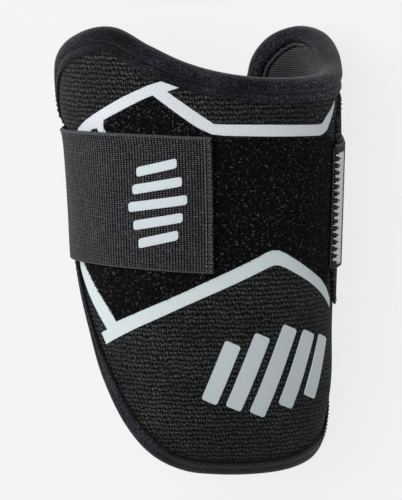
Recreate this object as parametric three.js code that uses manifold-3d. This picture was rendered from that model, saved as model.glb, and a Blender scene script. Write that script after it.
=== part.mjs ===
// A batter's elbow guard: a padded half tube that wraps the elbow from its left edge over the front and
// round the right side to a wing underneath, with a wide elastic strap closed round it. It lies front up.
// x runs to the right, y along the arm towards the upper arm, z up from the surface it lies on. Millimetres.

import * as THREE from 'three';
import { mergeVertices } from 'three/addons/utils/BufferGeometryUtils.js';
import Module from 'manifold-3d';

const wasm = await Module();
wasm.setup();

// Overall sizes of the padded half tube
const guardLength = 213;
const guardWidth = 133;
const guardDepth = 98.5;

// Walls and layers
const wallThickness = 7;
const rimEdge = 6.2;
const thinEdge = 2.4;
const edgeTaper = 26;
const linerThickness = 2.5;
const linerInset = 3.1;
const filmThickness = 0.5;
const pileThickness = 1.2;
const patchThickness = 1.3;
const barThickness = 0.6;

// Edge binding: how far it reaches onto the faces, how far its nose stands past the wall, and its roll. Its
// flange widens towards the lower edge, between two shares of the length below the middle, but not on the
// wing, which starts between two turns.
const bindingThickness = 1.3;
const innerFlange = 1.9;
const rimFlange = 7.4;
const thinFlange = 2.8;
const lowerFlange = 3.2;
const lowerFlangeFrom = 0.12;
const lowerFlangeFull = 0.3;
const wingTurn = 0.38;
const wingTurnFull = 0.5;
const rimNose = 4.4;
const thinNose = 2.4;
const rimRoll = 0.9;

// Strap: its middle line rises along its turn, and its free end dips from that rise between two turns
const strapWidth = 62.5;
const strapThickness = 1.6;
const strapHeight = 25.8;
const strapRise = 5;
const strapDip = 3.4;
const dipStart = 1.7;
const dipEnd = 2.1;
const hookThickness = 1;
const hookLength = 42;
const hookMargin = 3;
const bridgeHandle = 13;

// Bars of the motif
const barCount = 5;
const barWidth = 7.6;
const barPitch = 12.6;
const barLength = 46;
const strapBarWidth = 4.4;
const strapBarPitch = 8.2;
const strapBarLength = 26;
const barShortening = 0.16;
const panelBarsAcross = 0.165;
const panelBarsAt = -0.252;
const panelBarSlant = new THREE.Vector2(0.42, 0.91);
const strapBarsBeforeEnd = 0.133;
const strapBarSlope = 1.2;

// Clearances: between faces that touch, between the wall's edge and the binding's fold, and under the
// binding on the outer face and under binding and lining on the inner face, where the wall tapers
const clearance = 0.3;
const foldClearance = 0.9;
const outerClearance = 0.45;
const innerClearance = 0.7;

// Binding profile, as shares: where the crease lies on the flange and how deep it is, where the roll starts
// from the crease, and how far the fold's shoulders stand out along the nose and across the wall
const creasePlace = 0.42;
const creaseDepth = 0.25;
const rollStart = 0.2;
const shoulderOut = 0.72;
const shoulderRise = 0.66;
const innerRoll = 0.5;

// The wing rests on the binding's and the strap's thickness, so its outer face stands this high
const strapSeat = outerClearance + bindingThickness + clearance;
const soleHeight = strapSeat + strapThickness;

// Section of the half tube, row by row. at: share of the length from the middle. left, right: shares of the
// width from the middle. crown, limb: heights of the front and of the widest place, shares of the depth.
// lift: how far the back rises from the sole, a share of the depth.
const sections = [
	{ at: -0.51, left: -0.290, right: 0.385, crown: 0.62, limb: 0.36, lift: 0.12 },
	{ at: -0.43, left: -0.345, right: 0.433, crown: 0.78, limb: 0.39, lift: 0.05 },
	{ at: -0.31, left: -0.390, right: 0.467, crown: 0.89, limb: 0.43, lift: 0.015 },
	{ at: -0.17, left: -0.422, right: 0.469, crown: 0.96, limb: 0.46, lift: 0 },
	{ at: -0.02, left: -0.440, right: 0.475, crown: 0.99, limb: 0.48, lift: 0 },
	{ at: 0.10, left: -0.449, right: 0.480, crown: 1.00, limb: 0.49, lift: 0 },
	{ at: 0.21, left: -0.460, right: 0.484, crown: 1.00, limb: 0.50, lift: 0 },
	{ at: 0.26, left: -0.470, right: 0.486, crown: 0.995, limb: 0.50, lift: 0 },
	{ at: 0.30, left: -0.496, right: 0.485, crown: 0.988, limb: 0.50, lift: 0 },
	{ at: 0.40, left: -0.500, right: 0.480, crown: 0.975, limb: 0.49, lift: 0 },
	{ at: 0.51, left: -0.485, right: 0.466, crown: 0.96, limb: 0.48, lift: 0.01 },
];
const frontPower = 2.3;
const backPower = 3;
const soleDrop = 0.08;
const soleBlend = 4;
const ringSteps = 240;

// Outline of the wall in its flat pattern. turn: share of the way from the crown line round to the back
// line, plus to the right. at: share of the length from the middle. puff: 1 on the rolled rim, 0 where the
// edge is thin.
const wallOutline = [
	{ turn: -0.233, at: 0.479, puff: 1 },
	{ turn: -0.135, at: 0.443, puff: 1 },
	{ turn: -0.045, at: 0.408, puff: 1 },
	{ turn: 0.04, at: 0.386, puff: 1 },
	{ turn: 0.15, at: 0.372, puff: 1 },
	{ turn: 0.27, at: 0.370, puff: 1 },
	{ turn: 0.38, at: 0.376, puff: 1 },
	{ turn: 0.47, at: 0.392, puff: 1 },
	{ turn: 0.56, at: 0.424, puff: 1 },
	{ turn: 0.65, at: 0.455, puff: 1 },
	{ turn: 0.73, at: 0.462, puff: 1 },
	{ turn: 0.797, at: 0.443, puff: 1 },
	{ turn: 0.84, at: 0.402, puff: 1 },
	{ turn: 0.860, at: 0.350, puff: 0.8 },
	{ turn: 0.93, at: 0.25, puff: 0.1 },
	{ turn: 1.01, at: 0.13, puff: 0 },
	{ turn: 1.04, at: 0.02, puff: 0 },
	{ turn: 1.01, at: -0.09, puff: 0 },
	{ turn: 0.92, at: -0.19, puff: 0 },
	{ turn: 0.78, at: -0.27, puff: 0 },
	{ turn: 0.64, at: -0.34, puff: 0 },
	{ turn: 0.52, at: -0.408, puff: 0 },
	{ turn: 0.41, at: -0.460, puff: 0 },
	{ turn: 0.29, at: -0.483, puff: 0 },
	{ turn: 0.15, at: -0.491, puff: 0 },
	{ turn: 0, at: -0.490, puff: 0 },
	{ turn: -0.10, at: -0.482, puff: 0 },
	{ turn: -0.190, at: -0.450, puff: 0 },
	{ turn: -0.262, at: -0.380, puff: 0 },
	{ turn: -0.320, at: -0.272, puff: 0 },
	{ turn: -0.356, at: -0.165, puff: 0 },
	{ turn: -0.396, at: -0.085, puff: 0 },
	{ turn: -0.437, at: -0.015, puff: 0 },
	{ turn: -0.49, at: 0.07, puff: 0 },
	{ turn: -0.538, at: 0.17, puff: 0 },
	{ turn: -0.548, at: 0.27, puff: 0 },
	{ turn: -0.518, at: 0.330, puff: 0.5 },
	{ turn: -0.45, at: 0.406, puff: 1 },
	{ turn: -0.35, at: 0.457, puff: 1 },
];

// Outline of the loop panel in the flat pattern
const loopOutline = [
	{ turn: -0.109, at: 0.339 },
	{ turn: -0.060, at: 0.311 },
	{ turn: 0.000, at: 0.275 },
	{ turn: 0.045, at: 0.262 },
	{ turn: 0.200, at: 0.257 },
	{ turn: 0.340, at: 0.250 },
	{ turn: 0.360, at: 0.230 },
	{ turn: 0.364, at: 0.100 },
	{ turn: 0.362, at: -0.030 },
	{ turn: 0.352, at: -0.058 },
	{ turn: 0.312, at: -0.031 },
	{ turn: 0.262, at: -0.010 },
	{ turn: 0.214, at: 0.014 },
	{ turn: 0.176, at: 0.023 },
	{ turn: 0.135, at: 0.010 },
	{ turn: 0.066, at: -0.017 },
	{ turn: -0.040, at: -0.059 },
	{ turn: -0.150, at: -0.101 },
	{ turn: -0.240, at: -0.134 },
	{ turn: -0.280, at: -0.097 },
	{ turn: -0.318, at: -0.060 },
	{ turn: -0.347, at: -0.026 },
	{ turn: -0.350, at: 0.020 },
	{ turn: -0.290, at: 0.180 },
	{ turn: -0.244, at: 0.236 },
	{ turn: -0.225, at: 0.262 },
	{ turn: -0.224, at: 0.292 },
	{ turn: -0.190, at: 0.309 },
];

// Outline of the anchor patch in the flat pattern
const anchorOutline = [
	{ turn: 0.398, at: 0.262 },
	{ turn: 0.412, at: 0.292 },
	{ turn: 0.448, at: 0.328 },
	{ turn: 0.480, at: 0.340 },
	{ turn: 0.600, at: 0.338 },
	{ turn: 0.618, at: 0.310 },
	{ turn: 0.624, at: 0.110 },
	{ turn: 0.618, at: -0.090 },
	{ turn: 0.598, at: -0.118 },
	{ turn: 0.445, at: -0.122 },
	{ turn: 0.404, at: -0.080 },
	{ turn: 0.394, at: 0.080 },
];

// Outlines of the two films in the flat pattern, cut straight from corner to corner
const upperFilmOutline = [
	{ turn: -0.368, at: 0.258 },
	{ turn: -0.336, at: 0.276 },
	{ turn: -0.251, at: 0.317 },
	{ turn: -0.183, at: 0.350 },
	{ turn: -0.122, at: 0.375 },
	{ turn: -0.090, at: 0.384 },
	{ turn: -0.045, at: 0.371 },
	{ turn: -0.075, at: 0.362 },
	{ turn: 0.034, at: 0.293 },
	{ turn: 0.059, at: 0.292 },
	{ turn: 0.168, at: 0.290 },
	{ turn: 0.311, at: 0.285 },
	{ turn: 0.328, at: 0.287 },
	{ turn: 0.349, at: 0.302 },
	{ turn: 0.373, at: 0.316 },
	{ turn: 0.396, at: 0.332 },
	{ turn: 0.388, at: 0.316 },
	{ turn: 0.365, at: 0.292 },
	{ turn: 0.344, at: 0.272 },
	{ turn: 0.326, at: 0.264 },
	{ turn: 0.312, at: 0.261 },
	{ turn: 0.191, at: 0.264 },
	{ turn: 0.053, at: 0.268 },
	{ turn: 0.023, at: 0.271 },
	{ turn: -0.004, at: 0.283 },
	{ turn: -0.110, at: 0.354 },
	{ turn: -0.139, at: 0.343 },
	{ turn: -0.183, at: 0.323 },
	{ turn: -0.239, at: 0.298 },
	{ turn: -0.246, at: 0.281 },
	{ turn: -0.238, at: 0.256 },
	{ turn: -0.264, at: 0.256 },
	{ turn: -0.266, at: 0.280 },
	{ turn: -0.287, at: 0.276 },
	{ turn: -0.300, at: 0.258 },
];
const lowerFilmOutline = [
	{ turn: -0.415, at: 0.012 },
	{ turn: -0.394, at: -0.040 },
	{ turn: -0.352, at: -0.088 },
	{ turn: -0.311, at: -0.131 },
	{ turn: -0.281, at: -0.164 },
	{ turn: -0.306, at: -0.173 },
	{ turn: -0.292, at: -0.198 },
	{ turn: -0.194, at: -0.157 },
	{ turn: -0.048, at: -0.099 },
	{ turn: 0.089, at: -0.047 },
	{ turn: 0.155, at: -0.021 },
	{ turn: 0.174, at: -0.015 },
	{ turn: 0.189, at: -0.016 },
	{ turn: 0.209, at: -0.023 },
	{ turn: 0.280, at: -0.056 },
	{ turn: 0.325, at: -0.081 },
	{ turn: 0.368, at: -0.108 },
	{ turn: 0.394, at: -0.126 },
	{ turn: 0.388, at: -0.104 },
	{ turn: 0.362, at: -0.079 },
	{ turn: 0.331, at: -0.056 },
	{ turn: 0.299, at: -0.039 },
	{ turn: 0.253, at: -0.014 },
	{ turn: 0.208, at: 0.009 },
	{ turn: 0.188, at: 0.017 },
	{ turn: 0.169, at: 0.018 },
	{ turn: 0.154, at: 0.014 },
	{ turn: 0.127, at: 0.002 },
	{ turn: 0.044, at: -0.031 },
	{ turn: -0.076, at: -0.079 },
	{ turn: -0.248, at: -0.144 },
	{ turn: -0.263, at: -0.123 },
	{ turn: -0.301, at: -0.085 },
	{ turn: -0.338, at: -0.049 },
	{ turn: -0.380, at: -0.010 },
	{ turn: -0.388, at: 0.012 },
];
const cutStep = 6;

// Stations of the strap along its turn round the guard. It starts on the anchor patch, leaves the wing at
// bridgeStart, meets the left side at bridgeEnd and ends on the front.
const strapStart = 0.374;
const bridgeStart = 1.07;
const bridgeEnd = 1.455;
const strapEnd = 2.020;
const hookRamp = 0.12;
const hookLead = 0.02;
const hookSetback = 0.012;

// Meshing: columns at even turns and rows at these shares of the length are shared by all layers, so that
// their facets lie parallel. The rows are closer where the left side flares and at the lower end.
const columnStep = 1 / 24;
const sharedRows = [
	-0.45, -0.40, -0.34, -0.27, -0.19, -0.10, 0, 0.09, 0.17, 0.23, 0.255, 0.28, 0.315, 0.37, 0.43,
];
const columnEnds = [0.03, 0.16, 0.5];
const columnGap = 0.8;
const outlineStations = 220;
const bindingStations = 104;
const loopStations = 150;
const anchorStations = 90;
const strapRows = 4;

// A smooth curve through the rows of a table, read at one place: a cubic between each pair of rows, whose
// slopes come from the neighbouring rows.
function readTable(rows, column, at) {
	let row = 0;
	while (row < rows.length - 2 && at > rows[row + 1].at) row++;
	const slope = (i) => {
		const before = rows[Math.max(i - 1, 0)];
		const after = rows[Math.min(i + 1, rows.length - 1)];
		return (after[column] - before[column]) / (after.at - before.at);
	};
	const span = rows[row + 1].at - rows[row].at;
	const t = (at - rows[row].at) / span;
	return (1 + 2 * t) * (1 - t) ** 2 * rows[row][column] + t * (1 - t) ** 2 * span * slope(row)
		+ t * t * (3 - 2 * t) * rows[row + 1][column] + t * t * (t - 1) * span * slope(row + 1);
}

function smoothStep(from, to, value) {
	const t = THREE.MathUtils.clamp((value - from) / (to - from), 0, 1);
	return t * t * (3 - 2 * t);
}

// The larger of two heights, with a round transition between them
function smoothMax(a, b, blend) {
	const share = THREE.MathUtils.clamp(0.5 + 0.5 * (a - b) / blend, 0, 1);
	return b + (a - b) * share + blend * share * (1 - share);
}

// The closed section at one height along the arm: its points from the crown to the right and round, with
// the length run so far. A superellipse whose back is cut flat at the sole.
const rings = new Map();
function ring(y) {
	if (rings.has(y)) return rings.get(y);
	const read = (column) => readTable(sections, column, y / guardLength);
	const left = read('left') * guardWidth;
	const right = read('right') * guardWidth;
	const crown = read('crown') * guardDepth;
	const limb = read('limb') * guardDepth;
	const sole = soleHeight + Math.max(read('lift'), 0) * guardDepth;
	const middle = (left + right) / 2;
	const half = (right - left) / 2;
	const points = [];
	const runs = [];
	let run = 0;
	for (let step = 0; step <= ringSteps; step++) {
		const angle = 2 * Math.PI * step / ringSteps;
		const up = Math.cos(angle);
		const power = up >= 0 ? frontPower : backPower;
		const depth = up >= 0 ? crown - limb : limb - sole + soleDrop * guardDepth;
		const share = Math.abs(Math.sin(angle) / half) ** power + Math.abs(up / depth) ** power;
		const reach = share ** (-1 / power);
		const z = smoothMax(limb + reach * up, sole, soleBlend);
		points.push(new THREE.Vector2(middle + reach * Math.sin(angle), z));
		if (step > 0) run += points[step].distanceTo(points[step - 1]);
		runs.push(run);
	}
	rings.set(y, { points, runs, halfGirth: run / 2 });
	return rings.get(y);
}

// The point of the form at a turn round it and a height along the arm
function formPoint(turn, y) {
	const { points, runs, halfGirth } = ring(y);
	const run = (turn - 2 * Math.floor(turn / 2)) * halfGirth;
	let low = 0;
	let high = ringSteps;
	while (high - low > 1) {
		const middle = (low + high) >> 1;
		if (runs[middle] > run) high = middle;
		else low = middle;
	}
	const t = (run - runs[low]) / (runs[high] - runs[low]);
	const x = THREE.MathUtils.lerp(points[low].x, points[high].x, t);
	const z = THREE.MathUtils.lerp(points[low].y, points[high].y, t);
	return new THREE.Vector3(x, y, z);
}

// A point set off a surface along its normal, which comes from two short steps on the surface
function offsetPoint(surface, turn, y, offset) {
	const turnStep = 0.004;
	const heightStep = 0.5;
	const across = surface(turn + turnStep, y).sub(surface(turn - turnStep, y));
	const along = surface(turn, y + heightStep).sub(surface(turn, y - heightStep));
	return surface(turn, y).addScaledVector(across.cross(along).normalize(), offset);
}

// Flat pattern places in millimetres: x is the girth from the crown line, y the height along the arm
function toFlat(row) {
	const y = row.at * guardLength;
	return new THREE.Vector2(row.turn * ring(y).halfGirth, y);
}

function turnOf(flat) {
	return flat.x / ring(flat.y).halfGirth;
}

// A table of rows as a smooth curve in the flat pattern, read at even steps. z carries the rows' puff.
function flatCurve(rows, closed, count) {
	const points = rows.map((row) => {
		const flat = toFlat(row);
		return new THREE.Vector3(flat.x, flat.y, row.puff ?? 0);
	});
	const curve = new THREE.CatmullRomCurve3(points, closed, 'centripetal');
	curve.arcLengthDivisions = 1200;
	const samples = curve.getSpacedPoints(count);
	if (closed) samples.pop();
	return samples;
}

// Where the wall is measured from: its outline, and for any flat place the nearest station of it
const wallEdge = flatCurve(wallOutline, true, outlineStations);

function wallAt(flat) {
	let nearest = Infinity;
	let puff = 0;
	for (const point of wallEdge) {
		const distance = Math.hypot(flat.x - point.x, flat.y - point.y);
		if (distance < nearest) {
			nearest = distance;
			puff = point.z;
		}
	}
	const edge = THREE.MathUtils.lerp(thinEdge, rimEdge, THREE.MathUtils.clamp(puff, 0, 1));
	return edge + (wallThickness - edge) * Math.min(nearest / edgeTaper, 1);
}

// The outline moved inwards in the flat pattern
function insetCurve(samples, inset) {
	return samples.map((point, i) => {
		const before = samples[(i + samples.length - 1) % samples.length];
		const after = samples[(i + 1) % samples.length];
		const run = new THREE.Vector2(after.x - before.x, after.y - before.y).normalize();
		return new THREE.Vector3(point.x + run.y * inset, point.y - run.x * inset, point.z);
	});
}

// A geometry with its equal corners merged and its collapsed triangles left out
function closedGeometry(positions, index) {
	const geometry = new THREE.BufferGeometry();
	geometry.setAttribute('position', new THREE.Float32BufferAttribute(positions, 3));
	geometry.setIndex(Array.from(index));
	const merged = mergeVertices(geometry, 1e-4);
	const kept = [];
	for (let i = 0; i < merged.index.count; i += 3) {
		const [a, b, c] = [0, 1, 2].map((corner) => merged.index.getX(i + corner));
		if (a !== b && b !== c && c !== a) kept.push(a, b, c);
	}
	merged.setIndex(kept);
	return merged;
}

// A closed solid from a grid of point pairs. grid[i][j] holds the low and the high point; i runs with the
// turn and j with the height.
function gridSolid(grid) {
	const columns = grid.length;
	const rows = grid[0].length;
	const positions = [];
	const index = [];
	for (const column of grid) {
		for (const pair of column) {
			positions.push(...pair.high.toArray(), ...pair.low.toArray());
		}
	}
	const high = (i, j) => 2 * (i * rows + j);
	const low = (i, j) => high(i, j) + 1;
	const quad = (a, b, c, d) => index.push(a, b, c, a, c, d);
	for (let i = 0; i < columns - 1; i++) {
		for (let j = 0; j < rows - 1; j++) {
			quad(high(i, j), high(i + 1, j), high(i + 1, j + 1), high(i, j + 1));
			quad(low(i, j + 1), low(i + 1, j + 1), low(i + 1, j), low(i, j));
		}
		quad(low(i, 0), low(i + 1, 0), high(i + 1, 0), high(i, 0));
		quad(high(i, rows - 1), high(i + 1, rows - 1), low(i + 1, rows - 1), low(i, rows - 1));
	}
	for (let j = 0; j < rows - 1; j++) {
		quad(high(0, j), high(0, j + 1), low(0, j + 1), low(0, j));
		quad(low(columns - 1, j), low(columns - 1, j + 1), high(columns - 1, j + 1), high(columns - 1, j));
	}
	return closedGeometry(positions, index);
}

// The lowest and the highest place of an outline on one line of constant turn
function outlineSpan(outline, turn) {
	const heights = [];
	outline.forEach((start, i) => {
		const end = outline[(i + 1) % outline.length];
		if ((start.turn <= turn) !== (end.turn <= turn)) {
			const t = (turn - start.turn) / (end.turn - start.turn);
			heights.push(THREE.MathUtils.lerp(start.y, end.y, t));
		}
	});
	return [Math.min(...heights), Math.max(...heights)];
}

// The turns at which a piece inside an outline has its columns: those that all pieces share, kept a gap off
// the ends, and a few more at each end, where the outline closes
function sharedColumns(outline) {
	const turns = outline.map((point) => point.turn);
	const first = Math.min(...turns);
	const last = Math.max(...turns);
	const columns = columnEnds.map((share) => first + share * columnStep);
	for (let i = Math.ceil(first / columnStep); i * columnStep < last; i++) {
		const turn = i * columnStep;
		if (Math.min(turn - first, last - turn) > columnGap * columnStep) columns.push(turn);
	}
	return columns.concat(columnEnds.toReversed().map((share) => last - share * columnStep));
}

// A layer on the form: everything inside an outline, between two offsets from the form. Rows that lie
// outside the outline close up on it.
function layer(samples, low, high) {
	const outline = samples.map((point) => ({ turn: turnOf(point), y: point.y }));
	const grid = sharedColumns(outline).map((turn) => {
		const [bottom, top] = outlineSpan(outline, turn);
		const inside = sharedRows.map((share) => THREE.MathUtils.clamp(share * guardLength, bottom, top));
		return [bottom, ...inside, top].map((y) => {
			const flat = new THREE.Vector2(turn * ring(y).halfGirth, y);
			return {
				low: offsetPoint(formPoint, turn, y, low(flat)),
				high: offsetPoint(formPoint, turn, y, high(flat)),
			};
		});
	});
	return gridSolid(grid);
}

// A band of even width along a line in the flat pattern, between two offsets from a surface
function band(line, width, low, high, surface = formPoint) {
	const grid = line.map((point, i) => {
		const before = line[Math.max(i - 1, 0)];
		const after = line[Math.min(i + 1, line.length - 1)];
		const run = new THREE.Vector2(after.x - before.x, after.y - before.y).normalize();
		return [-0.5, 0, 0.5].map((share) => {
			const flat = new THREE.Vector2(point.x - run.y * share * width, point.y + run.x * share * width);
			const turn = turnOf(flat);
			return {
				low: offsetPoint(surface, turn, flat.y, low),
				high: offsetPoint(surface, turn, flat.y, high),
			};
		});
	});
	return gridSolid(grid);
}

// A swept closed profile round a closed outline; profiles[i] is the ring of points at station i
function loopSolid(profiles) {
	const size = profiles[0].length;
	const positions = profiles.flat().flatMap((point) => point.toArray());
	const index = [];
	profiles.forEach((_, i) => {
		const next = (i + 1) % profiles.length;
		for (let j = 0; j < size; j++) {
			const k = (j + 1) % size;
			index.push(i * size + j, next * size + j, next * size + k);
			index.push(i * size + j, next * size + k, i * size + k);
		}
	});
	return closedGeometry(positions, index);
}

// A thin sheet cut along straight lines in the flat pattern and laid on the form between two offsets. It is
// divided before it is laid, so that it follows the form inside its outline too.
function cutSheet(rows, low, high) {
	const corners = rows.map(toFlat);
	if (THREE.ShapeUtils.isClockWise(corners)) corners.reverse();
	const flatSheet = wasm.Manifold.extrude([corners.map((corner) => corner.toArray())], 1);
	const laidSheet = flatSheet.refineToLength(cutStep).warp((corner) => {
		const flat = new THREE.Vector2(corner[0], corner[1]);
		const offset = THREE.MathUtils.lerp(low, high, corner[2]);
		const laid = offsetPoint(formPoint, turnOf(flat), flat.y, offset);
		corner[0] = laid.x;
		corner[1] = laid.y;
		corner[2] = laid.z;
	});
	const mesh = laidSheet.getMesh();
	return closedGeometry(mesh.vertProperties, mesh.triVerts);
}

// The binding folds round the wall's edge: along the outer face, round the nose and along the inner face,
// then back along the wall. Each row is one place of its profile.
function bindingProfile(point, outward) {
	const puff = THREE.MathUtils.clamp(point.z, 0, 1);
	const onWing = smoothStep(wingTurn, wingTurnFull, turnOf(point));
	const lower = smoothStep(lowerFlangeFrom, lowerFlangeFull, -point.y / guardLength) * (1 - onWing);
	const flange = THREE.MathUtils.lerp(thinFlange, rimFlange, puff) + lower * lowerFlange;
	const nose = THREE.MathUtils.lerp(thinNose, rimNose, puff);
	const crease = flange * creasePlace;
	const skin = outerClearance + bindingThickness;
	const innerSkin = innerClearance + bindingThickness;
	const roll = rimRoll * puff;
	const wall = wallAt(point);
	const middle = -wall / 2;
	const faceReach = skin + roll - middle;
	const profile = [
		{ out: -flange, outer: skin },
		{ out: -crease, outer: skin - creaseDepth * bindingThickness },
		{ out: -rollStart * crease, outer: skin + roll },
		{ out: shoulderOut * nose, outer: middle + shoulderRise * faceReach },
		{ out: nose, outer: middle },
		{ out: shoulderOut * nose, outer: middle - shoulderRise * faceReach },
		{ out: -rollStart * crease, inner: innerSkin + innerRoll * roll },
		{ out: -innerFlange, inner: innerSkin },
		{ out: -innerFlange, inner: innerClearance },
		{ out: -rollStart * crease, inner: innerClearance },
		{ out: foldClearance, inner: innerClearance },
		{ out: foldClearance, outer: outerClearance },
		{ out: -crease, outer: outerClearance },
		{ out: -flange, outer: outerClearance },
	];
	return profile.map((place) => {
		const flat = new THREE.Vector2(point.x + outward.x * place.out, point.y + outward.y * place.out);
		const wallHere = place.out < 0 ? wallAt(flat) : wall;
		const offset = place.outer ?? -(wallHere + place.inner);
		return offsetPoint(formPoint, turnOf(flat), flat.y, offset);
	});
}

function bindingGeometry() {
	const samples = flatCurve(wallOutline, true, bindingStations);
	const profiles = samples.map((point, i) => {
		const before = samples[(i + samples.length - 1) % samples.length];
		const after = samples[(i + 1) % samples.length];
		const run = new THREE.Vector2(after.x - before.x, after.y - before.y).normalize();
		return bindingProfile(point, new THREE.Vector2(-run.y, run.x));
	});
	return loopSolid(profiles);
}

// The strap follows the form, but goes nearly straight from the wing to the left side. It leaves and meets
// the form along its run there.
function strapSurface(turn, y) {
	const share = (turn - bridgeStart) / (bridgeEnd - bridgeStart);
	if (share <= 0 || share >= 1) return formPoint(turn, y);
	const start = formPoint(bridgeStart, y);
	const end = formPoint(bridgeEnd, y);
	const leaving = start.clone().sub(formPoint(bridgeStart - columnStep, y)).setLength(bridgeHandle);
	const arriving = formPoint(bridgeEnd + columnStep, y).sub(end).setLength(bridgeHandle);
	const curve = new THREE.CubicBezierCurve3(start, start.clone().add(leaving), end.clone().sub(arriving), end);
	return curve.getPoint(share);
}

// Turns where the hook patch starts and ends, and where the strap begins to climb onto it
const hookStart = strapEnd - hookLength / ring(strapHeight).halfGirth;
const hookEnd = strapEnd - hookSetback;
const strapLift = 3 * clearance + pileThickness + hookThickness - strapSeat;

function strapLow(turn) {
	return strapSeat + strapLift * smoothStep(hookStart - hookRamp, hookStart - hookLead, turn);
}

function strapMiddle(turn) {
	const rise = strapRise * ((turn - strapStart) / (strapEnd - strapStart) - 0.5);
	return strapHeight + rise - strapDip * smoothStep(dipStart, dipEnd, turn);
}

function strapLayer(fromTurn, toTurn, width, low, high) {
	const steps = Math.max(2, Math.round((toTurn - fromTurn) / (columnStep / 2)));
	const grid = Array.from({ length: steps + 1 }, (_, i) => {
		const turn = THREE.MathUtils.lerp(fromTurn, toTurn, i / steps);
		return Array.from({ length: strapRows + 1 }, (_, j) => {
			const y = strapMiddle(turn) + width * (j / strapRows - 0.5);
			return {
				low: offsetPoint(strapSurface, turn, y, low(turn)),
				high: offsetPoint(strapSurface, turn, y, high(turn)),
			};
		});
	});
	return gridSolid(grid);
}

const group = new THREE.Group();

function addPiece(name, geometry, color, roughness) {
	const merged = mergeVertices(geometry, 1e-4);
	merged.computeVertexNormals();
	const material = new THREE.MeshStandardMaterial({ color, roughness, metalness: 0 });
	const mesh = new THREE.Mesh(merged, material);
	mesh.name = name;
	group.add(mesh);
}

// Padded shell and its edge
const outside = () => 0;
addPiece('guard_shell', layer(wallEdge, (flat) => -wallAt(flat), outside), 0x1b1b1e, 0.8);
addPiece('edge_binding', bindingGeometry(), 0x23252b, 0.55);

// Lining on the inner face
const linerFace = (flat) => -(wallAt(flat) + innerClearance);
const linerEdge = insetCurve(wallEdge, linerInset);
const linerBack = (flat) => linerFace(flat) - linerThickness;
addPiece('inner_liner', layer(linerEdge, linerBack, linerFace), 0x3c3a3e, 0.9);

// Loop panel and the films that frame it
const seat = () => clearance;
const loopEdge = flatCurve(loopOutline, true, loopStations);
addPiece('loop_panel', layer(loopEdge, seat, () => clearance + pileThickness), 0x0c0c0d, 1);
addPiece('upper_film', cutSheet(upperFilmOutline, clearance, clearance + filmThickness), 0xd9dae0, 0.5);
addPiece('lower_film', cutSheet(lowerFilmOutline, clearance, clearance + filmThickness), 0xcdd6d8, 0.5);

// Anchor patch, strap and hook patch
const anchorEdge = flatCurve(anchorOutline, true, anchorStations);
addPiece('anchor_patch', layer(anchorEdge, seat, () => clearance + patchThickness), 0x1f1f22, 0.85);
const strapHigh = (turn) => strapLow(turn) + strapThickness;
addPiece('elbow_strap', strapLayer(strapStart, strapEnd, strapWidth, strapLow, strapHigh), 0x3a3a3d, 0.85);
const hookLow = () => clearance + pileThickness + clearance;
const hookHigh = () => hookLow() + hookThickness;
const hookWidth = strapWidth - 2 * hookMargin;
addPiece('hook_patch', strapLayer(hookStart, hookEnd, hookWidth, hookLow, hookHigh), 0x151516, 0.9);

// Motif of slanted bars on the lower panel, longest in the middle
const barShares = [-0.5, -0.17, 0.17, 0.5];
const barCentre = new THREE.Vector2(panelBarsAcross * ring(0).halfGirth, panelBarsAt * guardLength);
for (let i = 0; i < barCount; i++) {
	const place = i - (barCount - 1) / 2;
	const length = barLength * (1 - barShortening * Math.abs(place));
	const line = barShares.map((share) => new THREE.Vector2(
		barCentre.x + place * barPitch + panelBarSlant.x * share * length,
		barCentre.y + panelBarSlant.y * share * length,
	));
	addPiece(`panel_bar_${i + 1}`, band(line, barWidth, clearance, clearance + barThickness), 0xbebec4, 0.5);
}

// The same motif, smaller and turned, on the strap's end
const strapBarTurn = strapEnd - strapBarsBeforeEnd;
for (let i = 0; i < barCount; i++) {
	const place = i - (barCount - 1) / 2;
	const length = strapBarLength * (1 - barShortening * Math.abs(place)) / ring(strapHeight).halfGirth;
	const lowest = (turn) => strapHigh(turn) + clearance;
	const grid = barShares.map((share) => {
		const turn = strapBarTurn + share * length;
		return [-0.5, 0.5].map((side) => {
			const y = strapMiddle(turn) + place * strapBarPitch + (side + strapBarSlope * share) * strapBarWidth;
			return {
				low: offsetPoint(strapSurface, turn, y, lowest(turn)),
				high: offsetPoint(strapSurface, turn, y, lowest(turn) + barThickness),
			};
		});
	});
	addPiece(`strap_bar_${i + 1}`, gridSolid(grid), 0xbebec4, 0.5);
}

export default group;
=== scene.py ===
import math

import bpy
import numpy as np
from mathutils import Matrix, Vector
from mathutils.geometry import delaunay_2d_cdt


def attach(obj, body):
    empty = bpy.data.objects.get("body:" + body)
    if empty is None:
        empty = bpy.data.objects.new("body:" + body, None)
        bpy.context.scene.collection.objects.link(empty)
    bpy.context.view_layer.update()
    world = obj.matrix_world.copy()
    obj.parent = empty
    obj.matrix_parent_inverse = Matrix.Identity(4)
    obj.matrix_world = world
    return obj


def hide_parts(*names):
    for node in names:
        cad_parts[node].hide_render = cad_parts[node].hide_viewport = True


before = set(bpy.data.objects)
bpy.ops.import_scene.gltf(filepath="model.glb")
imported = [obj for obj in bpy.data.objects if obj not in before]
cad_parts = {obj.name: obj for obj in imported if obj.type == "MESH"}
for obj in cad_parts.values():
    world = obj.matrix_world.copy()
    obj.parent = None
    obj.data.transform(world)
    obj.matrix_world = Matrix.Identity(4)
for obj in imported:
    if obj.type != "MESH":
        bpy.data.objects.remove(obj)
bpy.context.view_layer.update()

mm = 0.001

# Shell cover
# The guard's body is a half tube of moulded foam, 7 mm thick and thinner towards its edges, under a black
# jacquard mesh with small slots in offset rows. It wraps from the left edge over the front and round the
# right side to the wing underneath, and its flat pattern is cut as one piece.

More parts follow.
